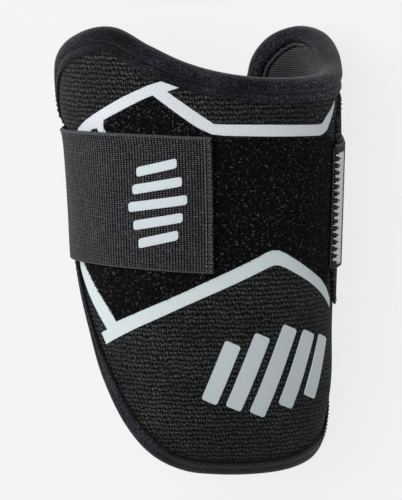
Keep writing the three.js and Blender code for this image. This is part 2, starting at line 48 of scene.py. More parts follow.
guard_length, guard_width, guard_depth = 213 * mm, 133 * mm, 98.5 * mm
wall_thickness, rim_edge, thin_edge, edge_taper = 7 * mm, 6.2 * mm, 2.4 * mm, 26 * mm
sole_height, sole_blend, sole_drop = 3.65 * mm, 4 * mm, 0.08
front_power, back_power = 2.3, 3

# at, left, right, crown, limb, lift: place along the arm, the two sides, the height of the front, of the
# widest place and of the back, as shares of the length, the width and the depth
section_rows = [
    (-0.51, -0.290, 0.385, 0.62, 0.36, 0.12),
    (-0.43, -0.345, 0.433, 0.78, 0.39, 0.05),
    (-0.31, -0.390, 0.467, 0.89, 0.43, 0.015),
    (-0.17, -0.422, 0.469, 0.96, 0.46, 0),
    (-0.02, -0.440, 0.475, 0.99, 0.48, 0),
    (0.10, -0.449, 0.480, 1.00, 0.49, 0),
    (0.21, -0.460, 0.484, 1.00, 0.50, 0),
    (0.26, -0.470, 0.486, 0.995, 0.50, 0),
    (0.30, -0.496, 0.485, 0.988, 0.50, 0),
    (0.40, -0.500, 0.480, 0.975, 0.49, 0),
    (0.51, -0.485, 0.466, 0.96, 0.48, 0.01),
]

# turn, at, puff: share of the way round from the front line to the back line, share of the length, and how
# much the edge there is a padded rim
wall_rows = [
    (-0.233, 0.479, 1), (-0.135, 0.443, 1), (-0.045, 0.408, 1), (0.04, 0.386, 1), (0.15, 0.372, 1),
    (0.27, 0.370, 1), (0.38, 0.376, 1), (0.47, 0.392, 1), (0.56, 0.424, 1), (0.65, 0.455, 1),
    (0.73, 0.462, 1), (0.797, 0.443, 1), (0.84, 0.402, 1), (0.860, 0.350, 0.8), (0.93, 0.25, 0.1),
    (1.01, 0.13, 0), (1.04, 0.02, 0), (1.01, -0.09, 0), (0.92, -0.19, 0), (0.78, -0.27, 0),
    (0.64, -0.34, 0), (0.52, -0.408, 0), (0.41, -0.460, 0), (0.29, -0.483, 0), (0.15, -0.491, 0),
    (0, -0.490, 0), (-0.10, -0.482, 0), (-0.190, -0.450, 0), (-0.262, -0.380, 0), (-0.320, -0.272, 0),
    (-0.356, -0.165, 0), (-0.396, -0.085, 0), (-0.437, -0.015, 0), (-0.49, 0.07, 0), (-0.538, 0.17, 0),
    (-0.548, 0.27, 0), (-0.518, 0.330, 0.5), (-0.45, 0.406, 1), (-0.35, 0.457, 1),
]


def table_curve(rows, at):
    """Every column of a table as a smooth curve along its first column: cubics between the rows, whose
    slope at a row is the rise from the row before it to the row after it."""
    rows = np.array(rows, float)
    place, values = rows[:, 0], rows[:, 1:]
    before = np.maximum(np.arange(len(place)) - 1, 0)
    after = np.minimum(np.arange(len(place)) + 1, len(place) - 1)
    slope = (values[after] - values[before]) / (place[after] - place[before])[:, None]
    row = np.clip(np.searchsorted(place, at, side="right") - 1, 0, len(place) - 2)
    span = (place[row + 1] - place[row])[:, None]
    t = (at - place[row])[:, None] / span
    start = (1 + 2 * t) * (1 - t) ** 2 * values[row] + t * (1 - t) ** 2 * span * slope[row]
    return start + t * t * (3 - 2 * t) * values[row + 1] + t * t * (t - 1) * span * slope[row + 1]


def smooth_max(a, b, blend):
    """The larger of two heights, with a round transition as wide as the blend between them."""
    share = np.clip(0.5 + 0.5 * (a - b) / blend, 0, 1)
    return b + (a - b) * share + blend * share * (1 - share)


def smooth_step(low, high, value):
    """0 below low, 1 above high, and the cubic 3t^2 - 2t^3 between them."""
    t = np.clip((value - low) / (high - low), 0, 1)
    return t * t * (3 - 2 * t)


form_reach, form_rows, form_columns, section_steps = 0.53, 227, 961, 1921
heights = np.linspace(-form_reach, form_reach, form_rows) * guard_length
turns = np.linspace(0, 2, form_columns)


def form_rings():
    """The closed sections of the form at every height: superellipses, flatter at the back, whose underside
    is cut level at the sole. Each is read at even runs along its girth, so turn 0 is the front line and 1
    the back line."""
    sizes = np.array([guard_width, guard_width, guard_depth, guard_depth, guard_depth])
    table = table_curve(section_rows, heights / guard_length) * sizes
    left, right, crown, limb, lift = (column[:, None] for column in table.T)
    sole = sole_height + np.maximum(lift, 0)
    angle = np.linspace(0, 2 * np.pi, section_steps)
    up = np.cos(angle)
    power = np.where(up >= 0, front_power, back_power)
    depth = np.where(up >= 0, crown - limb, limb - sole + sole_drop * guard_depth)
    across = np.abs(np.sin(angle) / ((right - left) / 2))
    reach = (across ** power + np.abs(up / depth) ** power) ** (-1 / power)
    x = (left + right) / 2 + reach * np.sin(angle)
    z = smooth_max(limb + reach * up, sole, sole_blend)
    run = np.cumsum(np.hypot(np.diff(x, prepend=x[:, :1]), np.diff(z, prepend=z[:, :1])), axis=1)
    rings = np.empty((len(heights), len(turns), 3))
    for row, total in enumerate(run[:, -1]):
        rings[row, :, 0] = np.interp(turns / 2 * total, run[row], x[row])
        rings[row, :, 2] = np.interp(turns / 2 * total, run[row], z[row])
    rings[..., 1] = heights[:, None]
    return rings, run[:, -1] / 2


form_points, half_girths = form_rings()
open_rings = form_points[:, :-1]
round_steps = np.roll(open_rings, -1, axis=1) - np.roll(open_rings, 1, axis=1)
form_normals = np.cross(round_steps, np.gradient(open_rings, axis=0))
form_normals /= np.linalg.norm(form_normals, axis=-1, keepdims=True)
form_normals = np.concatenate([form_normals, form_normals[:, :1]], axis=1)


def half_girth(y):
    """Half of the form's girth at a height, which turns a run in the flat pattern into a turn."""
    return np.interp(y, heights, half_girths)


def on_form(turn, y, offset=0.0):
    """Points set off the form along its normal, with both read from the rings between four neighbours."""
    turn, y, offset = np.broadcast_arrays(turn, y, offset)
    column = np.mod(turn, 2) / 2 * (len(turns) - 1)
    row = np.clip((y - heights[0]) / (heights[1] - heights[0]), 0, len(heights) - 1.001)
    i, j = row.astype(int), np.minimum(column.astype(int), len(turns) - 2)
    s, t = (row - i)[..., None], (column - j)[..., None]

    def read(grid):
        low = grid[i, j] * (1 - t) + grid[i, j + 1] * t
        high = grid[i + 1, j] * (1 - t) + grid[i + 1, j + 1] * t
        return low * (1 - s) + high * s

    normal = read(form_normals)
    normal /= np.linalg.norm(normal, axis=-1, keepdims=True)
    return read(form_points) + normal * offset[..., None]


def flat_on_form(flat, offset):
    """Places in the flat pattern, their run round the form and height, laid on the form at an offset."""
    return on_form(flat[..., 0] / half_girth(flat[..., 1]), flat[..., 1], offset)


def smooth_curve(points, count):
    """A smooth closed curve through flat points, read at even steps: centripetal cubics, so the step to a
    point weighs by the root of its length. Further columns, such as puff, follow along."""
    points = np.array(points, float)
    p = np.stack([np.roll(points, shift, axis=0) for shift in (1, 0, -1, -2)])
    gap = np.sqrt(np.linalg.norm(np.diff(p[..., :2], axis=0), axis=-1))[..., None]
    first = (p[1] - p[0]) / gap[0] - (p[2] - p[0]) / (gap[0] + gap[1]) + (p[2] - p[1]) / gap[1]
    second = (p[2] - p[1]) / gap[1] - (p[3] - p[1]) / (gap[1] + gap[2]) + (p[3] - p[2]) / gap[2]
    first, second = first * gap[1], second * gap[1]
    t = np.linspace(0, 1, 40, endpoint=False)[None, :, None]
    a, b, c, d = (part[:, None] for part in (p[1], first, p[2], second))
    leaving = a * (1 + 2 * t) * (1 - t) ** 2 + b * t * (1 - t) ** 2
    curve = leaving + c * t * t * (3 - 2 * t) + d * t * t * (t - 1)
    curve = np.concatenate([curve.reshape(-1, points.shape[1]), points[:1]])
    run = np.concatenate([[0], np.cumsum(np.linalg.norm(np.diff(curve[:, :2], axis=0), axis=1))])
    steps = np.linspace(0, run[-1], count, endpoint=False)
    return np.stack([np.interp(steps, run, column) for column in curve.T], axis=1)


def flat_places(rows):
    """Table rows of turn, at and further columns as places in the flat pattern, in metres."""
    rows = np.array(rows, float)
    y = rows[:, 1] * guard_length
    return np.column_stack([rows[:, 0] * half_girth(y), y, rows[:, 2:]])


outline_stations = 900
wall_outline = smooth_curve(flat_places(wall_rows), outline_stations)


def nearest(flat, outline):
    """For every flat place, its distance to the nearest station of an outline and that station's number,
    worked out in batches."""
    batch = 4000
    places = flat[..., :2].reshape(-1, 2)
    distance, station = np.empty(len(places)), np.empty(len(places), int)
    for start in range(0, len(places), batch):
        part = slice(start, start + batch)
        gaps = np.hypot(*(places[part, None] - outline[None, :, :2]).transpose(2, 0, 1))
        station[part] = gaps.argmin(axis=1)
        distance[part] = gaps.min(axis=1)
    return distance.reshape(flat.shape[:-1]), station.reshape(flat.shape[:-1])


def wall_at(flat):
    """The wall's thickness: the edge's own at the outline, growing evenly to the full wall at the taper."""
    distance, station = nearest(flat, wall_outline)
    edge = thin_edge + (rim_edge - thin_edge) * np.clip(wall_outline[station, 2], 0, 1)
    return edge + (wall_thickness - edge) * np.minimum(distance / edge_taper, 1)


def outline_spans(outline, columns):
    """The lowest and the highest place of an outline on each line of constant turn."""
    turn, y = outline[:, 0] / half_girth(outline[:, 1]), outline[:, 1]
    next_turn, next_y = np.roll(turn, -1), np.roll(y, -1)
    crossed = (turn[None] <= columns[:, None]) != (next_turn[None] <= columns[:, None])
    share = (columns[:, None] - turn) / np.where(next_turn == turn, 1, next_turn - turn)
    place = y + (next_y - y) * share
    return np.where(crossed, place, np.inf).min(axis=1), np.where(crossed, place, -np.inf).max(axis=1)


def closed_grid(top, bottom):
    """Two grids of points, one over the other, as the points and triangles of a closed slab. Corners that
    fall together are merged and the triangles that this closes are left out."""
    columns, rows = top.shape[:2]
    upper = np.arange(columns * rows).reshape(columns, rows)
    lower = upper + columns * rows

    def between(a, b, c, d):
        return np.stack([a, b, c, a, c, d], axis=-1).reshape(-1, 3)

    triangles = np.concatenate([
        between(upper[:-1, :-1], upper[1:, :-1], upper[1:, 1:], upper[:-1, 1:]),
        between(lower[:-1, 1:], lower[1:, 1:], lower[1:, :-1], lower[:-1, :-1]),
        between(lower[:-1, 0], lower[1:, 0], upper[1:, 0], upper[:-1, 0]),
        between(upper[:-1, -1], upper[1:, -1], lower[1:, -1], lower[:-1, -1]),
        between(upper[0, :-1], upper[0, 1:], lower[0, 1:], lower[0, :-1]),
        between(lower[-1, :-1], lower[-1, 1:], upper[-1, 1:], upper[-1, :-1]),
    ])
    return np.concatenate([top.reshape(-1, 3), bottom.reshape(-1, 3)]), triangles


def add_piece(name, points, triangles, flat, material, slot, replaces=(), crease=None):
    """A mesh piece that rides on the guard. Equal corners are merged, and the faces are turned outwards by
    the sign of the volume that they enclose. Each point keeps its flat place as the attribute flat, whose
    third part is 0 unless the piece gives it a third column."""
    keys = np.round(points / (0.001 * mm)).astype(np.int64)
    _, first, merged = np.unique(keys, axis=0, return_index=True, return_inverse=True)
    triangles = merged.reshape(-1)[triangles]
    a, b, c = triangles.T
    triangles = triangles[(a != b) & (b != c) & (c != a)]
    points, flat = points[first], flat.reshape(-1, flat.shape[-1])[first]
    corners = points[triangles]
    if np.einsum("ij,ij->i", corners[:, 0], np.cross(corners[:, 1], corners[:, 2])).sum() < 0:
        triangles = triangles[:, ::-1]
    mesh = bpy.data.meshes.new(name)
    mesh.vertices.add(len(points))
    mesh.vertices.foreach_set("co", points.astype(np.float32).ravel())
    mesh.loops.add(triangles.size)
    mesh.loops.foreach_set("vertex_index", triangles.astype(np.int32).ravel())
    mesh.polygons.add(len(triangles))
    mesh.polygons.foreach_set("loop_start", np.arange(0, triangles.size, 3, dtype=np.int32))
    place = mesh.attributes.new("flat", "FLOAT_VECTOR", "POINT")
    place.data.foreach_set("vector", np.column_stack([flat, np.zeros(len(flat))])[:, :3].ravel())
    mesh.update(calc_edges=True)
    mesh.validate()
    mesh.shade_smooth()
    if crease is not None:
        mesh.set_sharp_from_angle(angle=crease)
    piece = bpy.data.objects.new(name, mesh)
    bpy.context.scene.collection.objects.link(piece)
    mesh.materials.append(material)
    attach(piece, "root")
    if replaces:
        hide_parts(*replaces)
    return piece


def node(tree, kind, inputs=(), **settings):
    """A node of a kind in a tree. inputs gives a socket's name or number a value, or an output to link."""
    made = tree.nodes.new(kind)
    for name, value in settings.items():
        setattr(made, name, value)
    for socket, value in dict(inputs).items():
        if isinstance(value, bpy.types.NodeSocket):
            tree.links.new(value, made.inputs[socket])
        else:
            made.inputs[socket].default_value = value
    return made


def calc(tree, operation, *values):
    """The result of a Math node on values or outputs."""
    return node(tree, "ShaderNodeMath", enumerate(values), operation=operation).outputs[0]


def ramp(tree, value, low, high, to_low=0.0, to_high=1.0):
    """A value carried smoothly from one span to another."""
    inputs = {0: value, 1: low, 2: high, 3: to_low, 4: to_high}
    return node(tree, "ShaderNodeMapRange", inputs, interpolation_type="SMOOTHSTEP").outputs[0]


def mix(tree, share, first, second):
    """Two colours mixed by a share, on the colour sockets of a Mix node."""
    return node(tree, "ShaderNodeMix", {0: share, 6: first, 7: second}, data_type="RGBA").outputs[2]


def split(tree, vector):
    """The parts of a vector."""
    return node(tree, "ShaderNodeSeparateXYZ", {0: vector}).outputs


def object_place(tree):
    """The piece's own coordinates."""
    return node(tree, "ShaderNodeTexCoord").outputs["Object"]


def flat_place(tree):
    """The flat place that each point of the piece keeps."""
    return node(tree, "ShaderNodeAttribute", attribute_name="flat").outputs["Vector"]


def colour(r, g, b):
    """A colour from its 0 to 255 display values, as the shader takes it."""
    parts = np.array([r, g, b]) / 255
    linear = np.where(parts <= 0.04045, parts / 12.92, ((parts + 0.055) / 1.055) ** 2.4)
    return (*linear.tolist(), 1)


def new_group(name, sockets, outputs):
    """An empty node group with named inputs and outputs, and its two end nodes."""
    tree = bpy.data.node_groups.new(name, "ShaderNodeTree")
    for socket, kind in sockets.items():
        tree.interface.new_socket(name=socket, in_out="INPUT", socket_type=kind)
    for socket in outputs:
        tree.interface.new_socket(name=socket, in_out="OUTPUT", socket_type="NodeSocketFloat")
    return tree, tree.nodes.new("NodeGroupInput"), tree.nodes.new("NodeGroupOutput")


def slot_mesh_group():
    """Jacquard mesh: small holes in brick order between two families of slanted yarns, whose lattice wanders
    by some noise. Slot is 1 in a hole, Thread the rounded height of the yarn between the holes, and Strand
    the middle of each yarn's run past a hole, where one family lies over the other: the ridge that the
    mesh's material lightens as a painted highlight."""
    wander_scale, wander, second_family, ridge_power = 300, 1.3, 0.6, 2.5
    sockets = {"Flat": "NodeSocketVector", "Across": "NodeSocketFloat", "Along": "NodeSocketFloat"}
    tree, given, result = new_group("slot mesh", sockets, ("Slot", "Thread", "Strand"))
    flat = given.outputs["Flat"]
    noise = node(tree, "ShaderNodeTexNoise", {"Vector": flat, "Scale": wander_scale, "Detail": 2})
    bend, parts = split(tree, noise.outputs["Color"]), split(tree, flat)
    across = calc(tree, "DIVIDE", parts["X"], given.outputs["Across"])
    along = calc(tree, "DIVIDE", parts["Y"], given.outputs["Along"])
    across = calc(tree, "MULTIPLY_ADD", bend["X"], wander, across)
    along = calc(tree, "MULTIPLY_ADD", bend["Y"], wander, along)
    waves = []
    for side in (0.5, -0.5):
        family = calc(tree, "MULTIPLY_ADD", along, side, across)
        wave = calc(tree, "COSINE", calc(tree, "MULTIPLY", family, 2 * math.pi))
        waves.append(calc(tree, "MULTIPLY_ADD", wave, 0.5, 0.5))
    hole = calc(tree, "MULTIPLY", *waves)
    strands = []
    for wave, other, weight in ((*waves, 1.0), (*waves[::-1], second_family)):
        ridge = calc(tree, "POWER", calc(tree, "SUBTRACT", 1, wave), ridge_power)
        past_hole = calc(tree, "MULTIPLY", ridge, ramp(tree, other, 0.1, 0.8))
        strands.append(calc(tree, "MULTIPLY", past_hole, weight))
    strand = calc(tree, "MAXIMUM", *strands)
    thread = calc(tree, "MULTIPLY_ADD", strand, 0.5, ramp(tree, hole, 0.1, 0.8, 1, 0))
    tree.links.new(ramp(tree, hole, 0.5, 0.85), result.inputs["Slot"])
    tree.links.new(thread, result.inputs["Thread"])
    tree.links.new(strand, result.inputs["Strand"])
    return tree


def fleck_group():
    """Fine uneven yarn: Fleck is a sparse light speckle, Grain an even fine noise, Shade a slow change."""
    slow_scale = 38
    sockets = {"Place": "NodeSocketVector", "Scale": "NodeSocketFloat"}
    tree, given, result = new_group("yarn fleck", sockets, ("Fleck", "Grain", "Shade"))
    place, scale = given.outputs["Place"], given.outputs["Scale"]
    fine = {"Vector": place, "Scale": scale, "Detail": 2, "Roughness": 0.6}
    grain = node(tree, "ShaderNodeTexNoise", fine)
    slow = node(tree, "ShaderNodeTexNoise", {"Vector": place, "Scale": slow_scale, "Detail": 2})
    tree.links.new(ramp(tree, grain.outputs["Fac"], 0.58, 0.72), result.inputs["Fleck"])
    tree.links.new(grain.outputs["Fac"], result.inputs["Grain"])
    tree.links.new(ramp(tree, slow.outputs["Fac"], 0.3, 0.7), result.inputs["Shade"])
    return tree


def corner_group():
    """Where the light grazes the guard: Corner rises to 1 at its upper right, below the lobe's top."""
    from_right, from_below, below_top = (46 * mm, 58 * mm), (48 * mm, 64 * mm), (80 * mm, 90 * mm)
    tree, given, result = new_group("corner light", {"Place": "NodeSocketVector"}, ("Corner",))
    parts = split(tree, given.outputs["Place"])
    right = ramp(tree, parts["X"], *from_right)
    upper = ramp(tree, parts["Y"], *from_below)
    under_top = ramp(tree, parts["Y"], *below_top, 1, 0)
    corner = calc(tree, "MULTIPLY", calc(tree, "MULTIPLY", right, upper), under_top)
    tree.links.new(corner, result.inputs["Corner"])
    return tree


slot_mesh, yarn_fleck, corner_light = slot_mesh_group(), fleck_group(), corner_group()


def placed_group(tree, group, **inputs):
    """A node group placed in a tree with its inputs given."""
    return node(tree, "ShaderNodeGroup", inputs, node_tree=group).outputs


def yarn(tree, scale):
    """The masks of fine yarn over a piece, at a scale."""
    return placed_group(tree, yarn_fleck, Place=object_place(tree), Scale=scale)


def new_material(name, roughness, sheen=0.0, specular=0.4):
    """A material with its Principled shader, whose even values are set on the shader itself."""
    material = bpy.data.materials.new(name)
    material.use_nodes = True
    shader = material.node_tree.nodes["Principled BSDF"]
    shader.inputs["Roughness"].default_value = roughness
    shader.inputs["Sheen Weight"].default_value = sheen
    shader.inputs["Sheen Roughness"].default_value = 0.45
    shader.inputs["Specular IOR Level"].default_value = specular
    return material, material.node_tree, shader


def set_finish(tree, shader, base, height, depth):
    """The base colour on the shader, and the height as a bump of the given depth."""
    tree.links.new(base, shader.inputs["Base Color"])
    bump = node(tree, "ShaderNodeBump", {"Height": height, "Distance": depth})
    tree.links.new(bump.outputs[0], shader.inputs["Normal"])


cover_columns, cover_rows = 236, 184
# the share of a turn that the first and the last column keep from the outline's ends
cover_end = 0.002
cover_mesh_pitch = (2.1 * mm, 2.2 * mm)
# the pale colour of the knit's flecks and of the painted highlight where the light grazes the upper right
# corner
fleck_and_highlight_colour = colour(150, 160, 182)
# the middle colour is a painted highlight on the yarn ridges, not a yarn of its own
cover_yarn, cover_ridge_highlight, cover_slot = colour(9, 10, 10), colour(98, 101, 102), colour(2, 2, 2)


def mesh_fabric():
    """The cover's jacquard mesh: black holes in a dark yarn with uneven flecks, the yarn's ridges lightened
    as a painted highlight, and pale dots of painted highlight where the light grazes the upper right corner."""
    material, tree, shader = new_material("black jacquard mesh", 0.85, sheen=0.05, specular=0.06)
    across, along = cover_mesh_pitch
    slots = placed_group(tree, slot_mesh, Flat=flat_place(tree), Across=across, Along=along)
    fleck = yarn(tree, 1500)
    corner = placed_group(tree, corner_light, Place=object_place(tree))["Corner"]
    # painted highlight along the yarn ridges, made uneven by the grain
    bright = calc(tree, "MULTIPLY", slots["Strand"], ramp(tree, fleck["Grain"], 0.35, 0.65, 0.1, 1.3))
    thread = mix(tree, bright, cover_yarn, cover_ridge_highlight)
    thread = mix(tree, calc(tree, "MULTIPLY", fleck["Shade"], 0.3), thread, cover_slot)
    # painted highlight: pale dots where the light grazes the upper right corner
    flecks_and_highlights = calc(tree, "MULTIPLY", calc(tree, "MULTIPLY", fleck["Fleck"], corner), 0.7)
    thread = mix(tree, flecks_and_highlights, thread, fleck_and_highlight_colour)
    base = mix(tree, slots["Slot"], thread, cover_slot)
    height = calc(tree, "MULTIPLY_ADD", fleck["Grain"], 0.4, slots["Thread"])
    set_finish(tree, shader, base, height, 0.3 * mm)
    return material


def cover_grid():
    """The cover's places in the flat pattern: columns of constant turn between the ends of the outline, each
    with even rows from the lower edge to the upper."""
    turn = wall_outline[:, 0] / half_girth(wall_outline[:, 1])
    columns = np.linspace(turn.min() + cover_end, turn.max() - cover_end, cover_columns)
    bottom, top = outline_spans(wall_outline, columns)
    share = np.linspace(0, 1, cover_rows)
    y = bottom[:, None] + (top - bottom)[:, None] * share
    return np.stack([columns[:, None] * half_girth(y), y], axis=-1)


cover_flat = cover_grid()
cover_fabric = mesh_fabric()
cover = add_piece(
    "shell_cover",
    *closed_grid(flat_on_form(cover_flat, 0.0), flat_on_form(cover_flat, -wall_at(cover_flat))),
    np.stack([cover_flat, cover_flat]),
    cover_fabric,
    "mesh_cover",
    ["guard_shell"],
    crease=1.0,
)

# Edge binding
# A stretch binding folds round the whole edge of the shell and is topstitched on both faces. Over the
# upper rim it is wide and padded, a soft roll with a crease above the stitched flange, and elsewhere it is
# a thin fold, wider round the lower edge.

binding_thickness, rim_roll = 1.3 * mm, 0.9 * mm
rim_flange, thin_flange, lower_flange, inner_flange = 7.4 * mm, 2.8 * mm, 3.2 * mm, 1.9 * mm
lower_from, lower_full, wing_turn, wing_turn_full = 0.12, 0.3, 0.38, 0.5
rim_nose, thin_nose = 4.4 * mm, 2.4 * mm
fold_clearance, outer_clearance, inner_clearance = 0.9 * mm, 0.45 * mm, 0.7 * mm
crease_place, crease_depth, crease_half = 0.42, 1.4 * mm, 0.25 * mm
binding_stations = 1000


def spline_rows(rows, steps):
    """A smooth open curve through rows of points along the first axis: even cubics, with steps points
    between each two rows."""
    ends = np.concatenate([2 * rows[:1] - rows[1:2], rows, 2 * rows[-1:] - rows[-2:-1]])
    a, b, c, d = ends[:-3, None], ends[1:-2, None], ends[2:-1, None], ends[3:, None]
    t = (np.arange(steps) / steps).reshape(1, -1, *[1] * (rows.ndim - 1))
    bend, twist = 2 * a - 5 * b + 4 * c - d, 3 * b - a - 3 * c + d
    curve = 0.5 * (2 * b + (c - a) * t + bend * t ** 2 + twist * t ** 3)
    return np.concatenate([curve.reshape(-1, *rows.shape[1:]), rows[-1:]])


def swept(rings, closed=False):
    """Tubes from rings[tube, station, corner] as points and triangles. A tube closes on itself, or each end
    closes on the middle of its last ring."""
    tubes, stations, corners = rings.shape[:3]
    index = np.arange(tubes * stations * corners).reshape(tubes, stations, corners)
    here = index if closed else index[:, :-1]
    after = np.roll(index, -1, axis=1) if closed else index[:, 1:]
    next_here, next_after = np.roll(here, -1, 2), np.roll(after, -1, 2)
    sides = np.stack([here, after, next_after, here, next_after, next_here], -1)
    points, triangles = rings.reshape(-1, 3), [sides.reshape(-1, 3)]
    if not closed:
        middles = rings[:, [0, -1]].mean(axis=2).reshape(-1, 3)
        centre = len(points) + np.arange(2 * tubes).reshape(tubes, 2, 1)
        points = np.concatenate([points, middles])
        for end, ring in enumerate((index[:, 0], index[:, -1, ::-1])):
            fan = [np.broadcast_to(centre[:, end], ring.shape), ring, np.roll(ring, -1, axis=1)]
            triangles.append(np.stack(fan, axis=-1).reshape(-1, 3))
    return points, np.concatenate(triangles)


def outward(curve):
    """The unit direction out of a closed anticlockwise or clockwise outline at each of its stations."""
    run = np.roll(curve[:, :2], -1, axis=0) - np.roll(curve[:, :2], 1, axis=0)
    run /= np.linalg.norm(run, axis=1, keepdims=True)
    x, y = curve[:, 0], curve[:, 1]
    area = np.sum(x * np.roll(y, -1) - y * np.roll(x, -1))
    return np.column_stack([run[:, 1], -run[:, 0]]) * np.sign(area)


def flange_at(edge):
    """How far the flange reaches in on the outer face: wide at the padded rim, narrow at the sides, and
    wider again round the lower edge in front of the wing."""
    on_wing = smooth_step(wing_turn, wing_turn_full, edge[:, 0] / half_girth(edge[:, 1]))
    lower = smooth_step(lower_from, lower_full, -edge[:, 1] / guard_length) * (1 - on_wing)
    return thin_flange + (rim_flange - thin_flange) * np.clip(edge[:, 2], 0, 1) + lower * lower_flange


def binding_rings():
    """The binding's section at every station of the outline: rows of how far out each place lies and its
    offset from the outer or the inner face, smoothed over the visible fold, then back along the wall. Its
    second result is 1 in the two lines that stay in shadow, the seam's edge and the crease."""
    edge = smooth_curve(flat_places(wall_rows), binding_stations)
    puff = np.clip(edge[:, 2], 0, 1)
    out = outward(edge)
    flange = flange_at(edge)
    nose = thin_nose + (rim_nose - thin_nose) * puff
    crease = crease_place * flange
    roll = rim_roll * puff
    skin, inner_skin = outer_clearance + binding_thickness, inner_clearance + binding_thickness
    wall = wall_at(edge)
    middle = -wall / 2
    face = skin + roll - middle
    even = np.ones_like(flange)
    fold = [
        (-flange, outer_clearance * even, 0),
        (-flange - 0.15 * mm, (outer_clearance + 0.6 * binding_thickness) * even, 0),
        (-flange + 0.5 * mm, (skin - 0.06 * mm) * even, 0),
        (-0.66 * flange, (skin - 0.02 * mm) * even, 0),
        (-crease - crease_half, skin - (0.1 + 0.5 * puff) * crease_depth, 0),
        (-crease + crease_half, skin - (0.1 + 0.5 * puff) * crease_depth, 0),
        (-0.62 * crease, skin + 0.6 * roll, 0),
        (0.1 * nose, skin + 0.98 * roll, 0),
        (0.62 * nose, middle + 0.76 * face, 0),
        (0.92 * nose, middle + 0.4 * face, 0),
        (nose, middle, 0),
        (0.92 * nose, middle - 0.4 * face, 0),
        (0.62 * nose, middle - 0.74 * face, 0),
        (0.05 * nose, inner_skin + 0.6 * roll, 1),
        (-0.4 * inner_flange * even, inner_skin + 0.35 * roll, 1),
        (-inner_flange + 0.5 * mm * even, inner_skin * even, 1),
        (-inner_flange * even, (inner_clearance + 0.5 * binding_thickness) * even, 1),
    ]
    back = [
        (-inner_flange * even, inner_clearance * even, 1),
        (fold_clearance * even, inner_clearance * even, 1),
        (fold_clearance * even, outer_clearance * even, 0),
        (-crease, outer_clearance * even, 0),
    ]

    def placed(rows):
        reach = np.stack([row[0] for row in rows])
        places = edge[None, :, :2] + reach[..., None] * out[None]
        wall_here = np.where(reach < 0, wall_at(places), wall)
        offset = np.stack([row[1] for row in rows])
        inner = np.array([row[2] for row in rows])[:, None]
        return np.concatenate([places, np.where(inner, -(wall_here + offset), offset)[..., None]], axis=-1)

    rows = np.concatenate([spline_rows(placed(fold), 2), placed(back)]).transpose(1, 0, 2)
    seam_rows, crease_rows = slice(0, 4), slice(8, 11)
    shadow = np.zeros(rows.shape[:2])
    shadow[:, seam_rows] = 1
    shadow[:, crease_rows] = puff[:, None] * (0.5, 1, 0.5)
    return rows, shadow


def binding_fabric():
    """A matte black stretch knit with a navy cast, a few pale flecks, and pale dots of painted highlight
    where the light grazes the rim's upper right corner.
    """
    material, tree, shader = new_material("stretch binding", 0.75, sheen=0.16, specular=0.1)
    fleck = yarn(tree, 1200)
    corner = placed_group(tree, corner_light, Place=object_place(tree))["Corner"]
    # a few pale flecks all over, and many more as painted highlight where the light grazes the upper right
    # corner
    flecks_and_highlights = calc(tree, "MULTIPLY", fleck["Fleck"], calc(tree, "MULTIPLY_ADD", corner, 0.8, 0.08))
    base = mix(tree, fleck["Shade"], colour(17, 18, 23), colour(58, 61, 71))
    base = mix(tree, ramp(tree, fleck["Grain"], 0.36, 0.64), colour(3, 3, 5), base)
    base = mix(tree, flecks_and_highlights, base, fleck_and_highlight_colour)
    shadow = calc(tree, "MULTIPLY", split(tree, flat_place(tree))["Z"], 0.85)
    base = mix(tree, shadow, base, colour(2, 2, 3))
    set_finish(tree, shader, base, fleck["Grain"], 0.3 * mm)
    return material


binding_profile, binding_shadow = binding_rings()
binding_flat = np.concatenate([binding_profile[..., :2], binding_shadow[..., None]], axis=-1).reshape(-1, 3)
binding = add_piece(
    "rim_binding",
    *swept(flat_on_form(binding_profile[None, ..., :2], binding_profile[None, ..., 2]), closed=True),
    binding_flat,
    binding_fabric(),
    "binding",
    ["edge_binding"],
    crease=1.0,
)

# Inner liner
# The lining is a brushed foam laminate with fine ribs round the arm, let in 3.1 mm from the edge on the
# inner face. A raised lip runs round it, and a narrow groove parts it from the binding.

liner_inset, liner_thickness, lip_width, lip_groove = 3.1 * mm, 2.5 * mm, 1.4 * mm, 0.8 * mm
rib_start, rib_pitch, rib_height = -104 * mm, 1.1 * mm, 0.28 * mm
lobe_turns, lobe_heights = (0.42, 0.90), (54 * mm, 102 * mm)
liner_columns, liner_end, lip_stations, lip_corners = (36, 50, 9), 0.003, 640, 12


def inset(outline, distance):
    """An outline moved inwards by a distance, station by station."""
    moved = outline[:, :2] - outward(outline) * distance
    return np.column_stack([moved, outline[:, 2:]])


def liner_slab():
    """The ribbed field: rows at half pitch, at quarter pitch inside the lobe that shows, and columns that
    are closer there too. Its height on the inner face is a cosine wave of the rib pitch along the arm."""
    field = inset(wall_outline, liner_inset + lip_width + lip_groove)
    turn = field[:, 0] / half_girth(field[:, 1])
    before, within, behind = liner_columns
    columns = np.concatenate([
        np.linspace(turn.min() + liner_end, lobe_turns[0], before, endpoint=False),
        np.linspace(*lobe_turns, within, endpoint=False),
        np.linspace(lobe_turns[1], turn.max() - liner_end, behind),
    ])
    bottom, top = outline_spans(field, columns)
    coarse = np.arange(rib_start, lobe_heights[0], rib_pitch / 2)
    fine = np.arange(coarse[-1] + rib_pitch / 4, lobe_heights[1], rib_pitch / 4)
    rows = np.concatenate([coarse, fine])
    y = np.clip(rows[None], bottom[:, None], top[:, None])
    flat = np.stack([columns[:, None] * half_girth(y), y], axis=-1)
    distance = nearest(flat, field)[0]
    rib = 0.5 * rib_height * (1 - np.cos(2 * np.pi * (y - coarse[0]) / rib_pitch))
    soft = smooth_step(0, 2.5 * mm, distance)
    backing = -(wall_at(flat) + inner_clearance)
    face = backing - liner_thickness * (0.45 + 0.45 * soft) - rib * soft
    return flat, backing, face


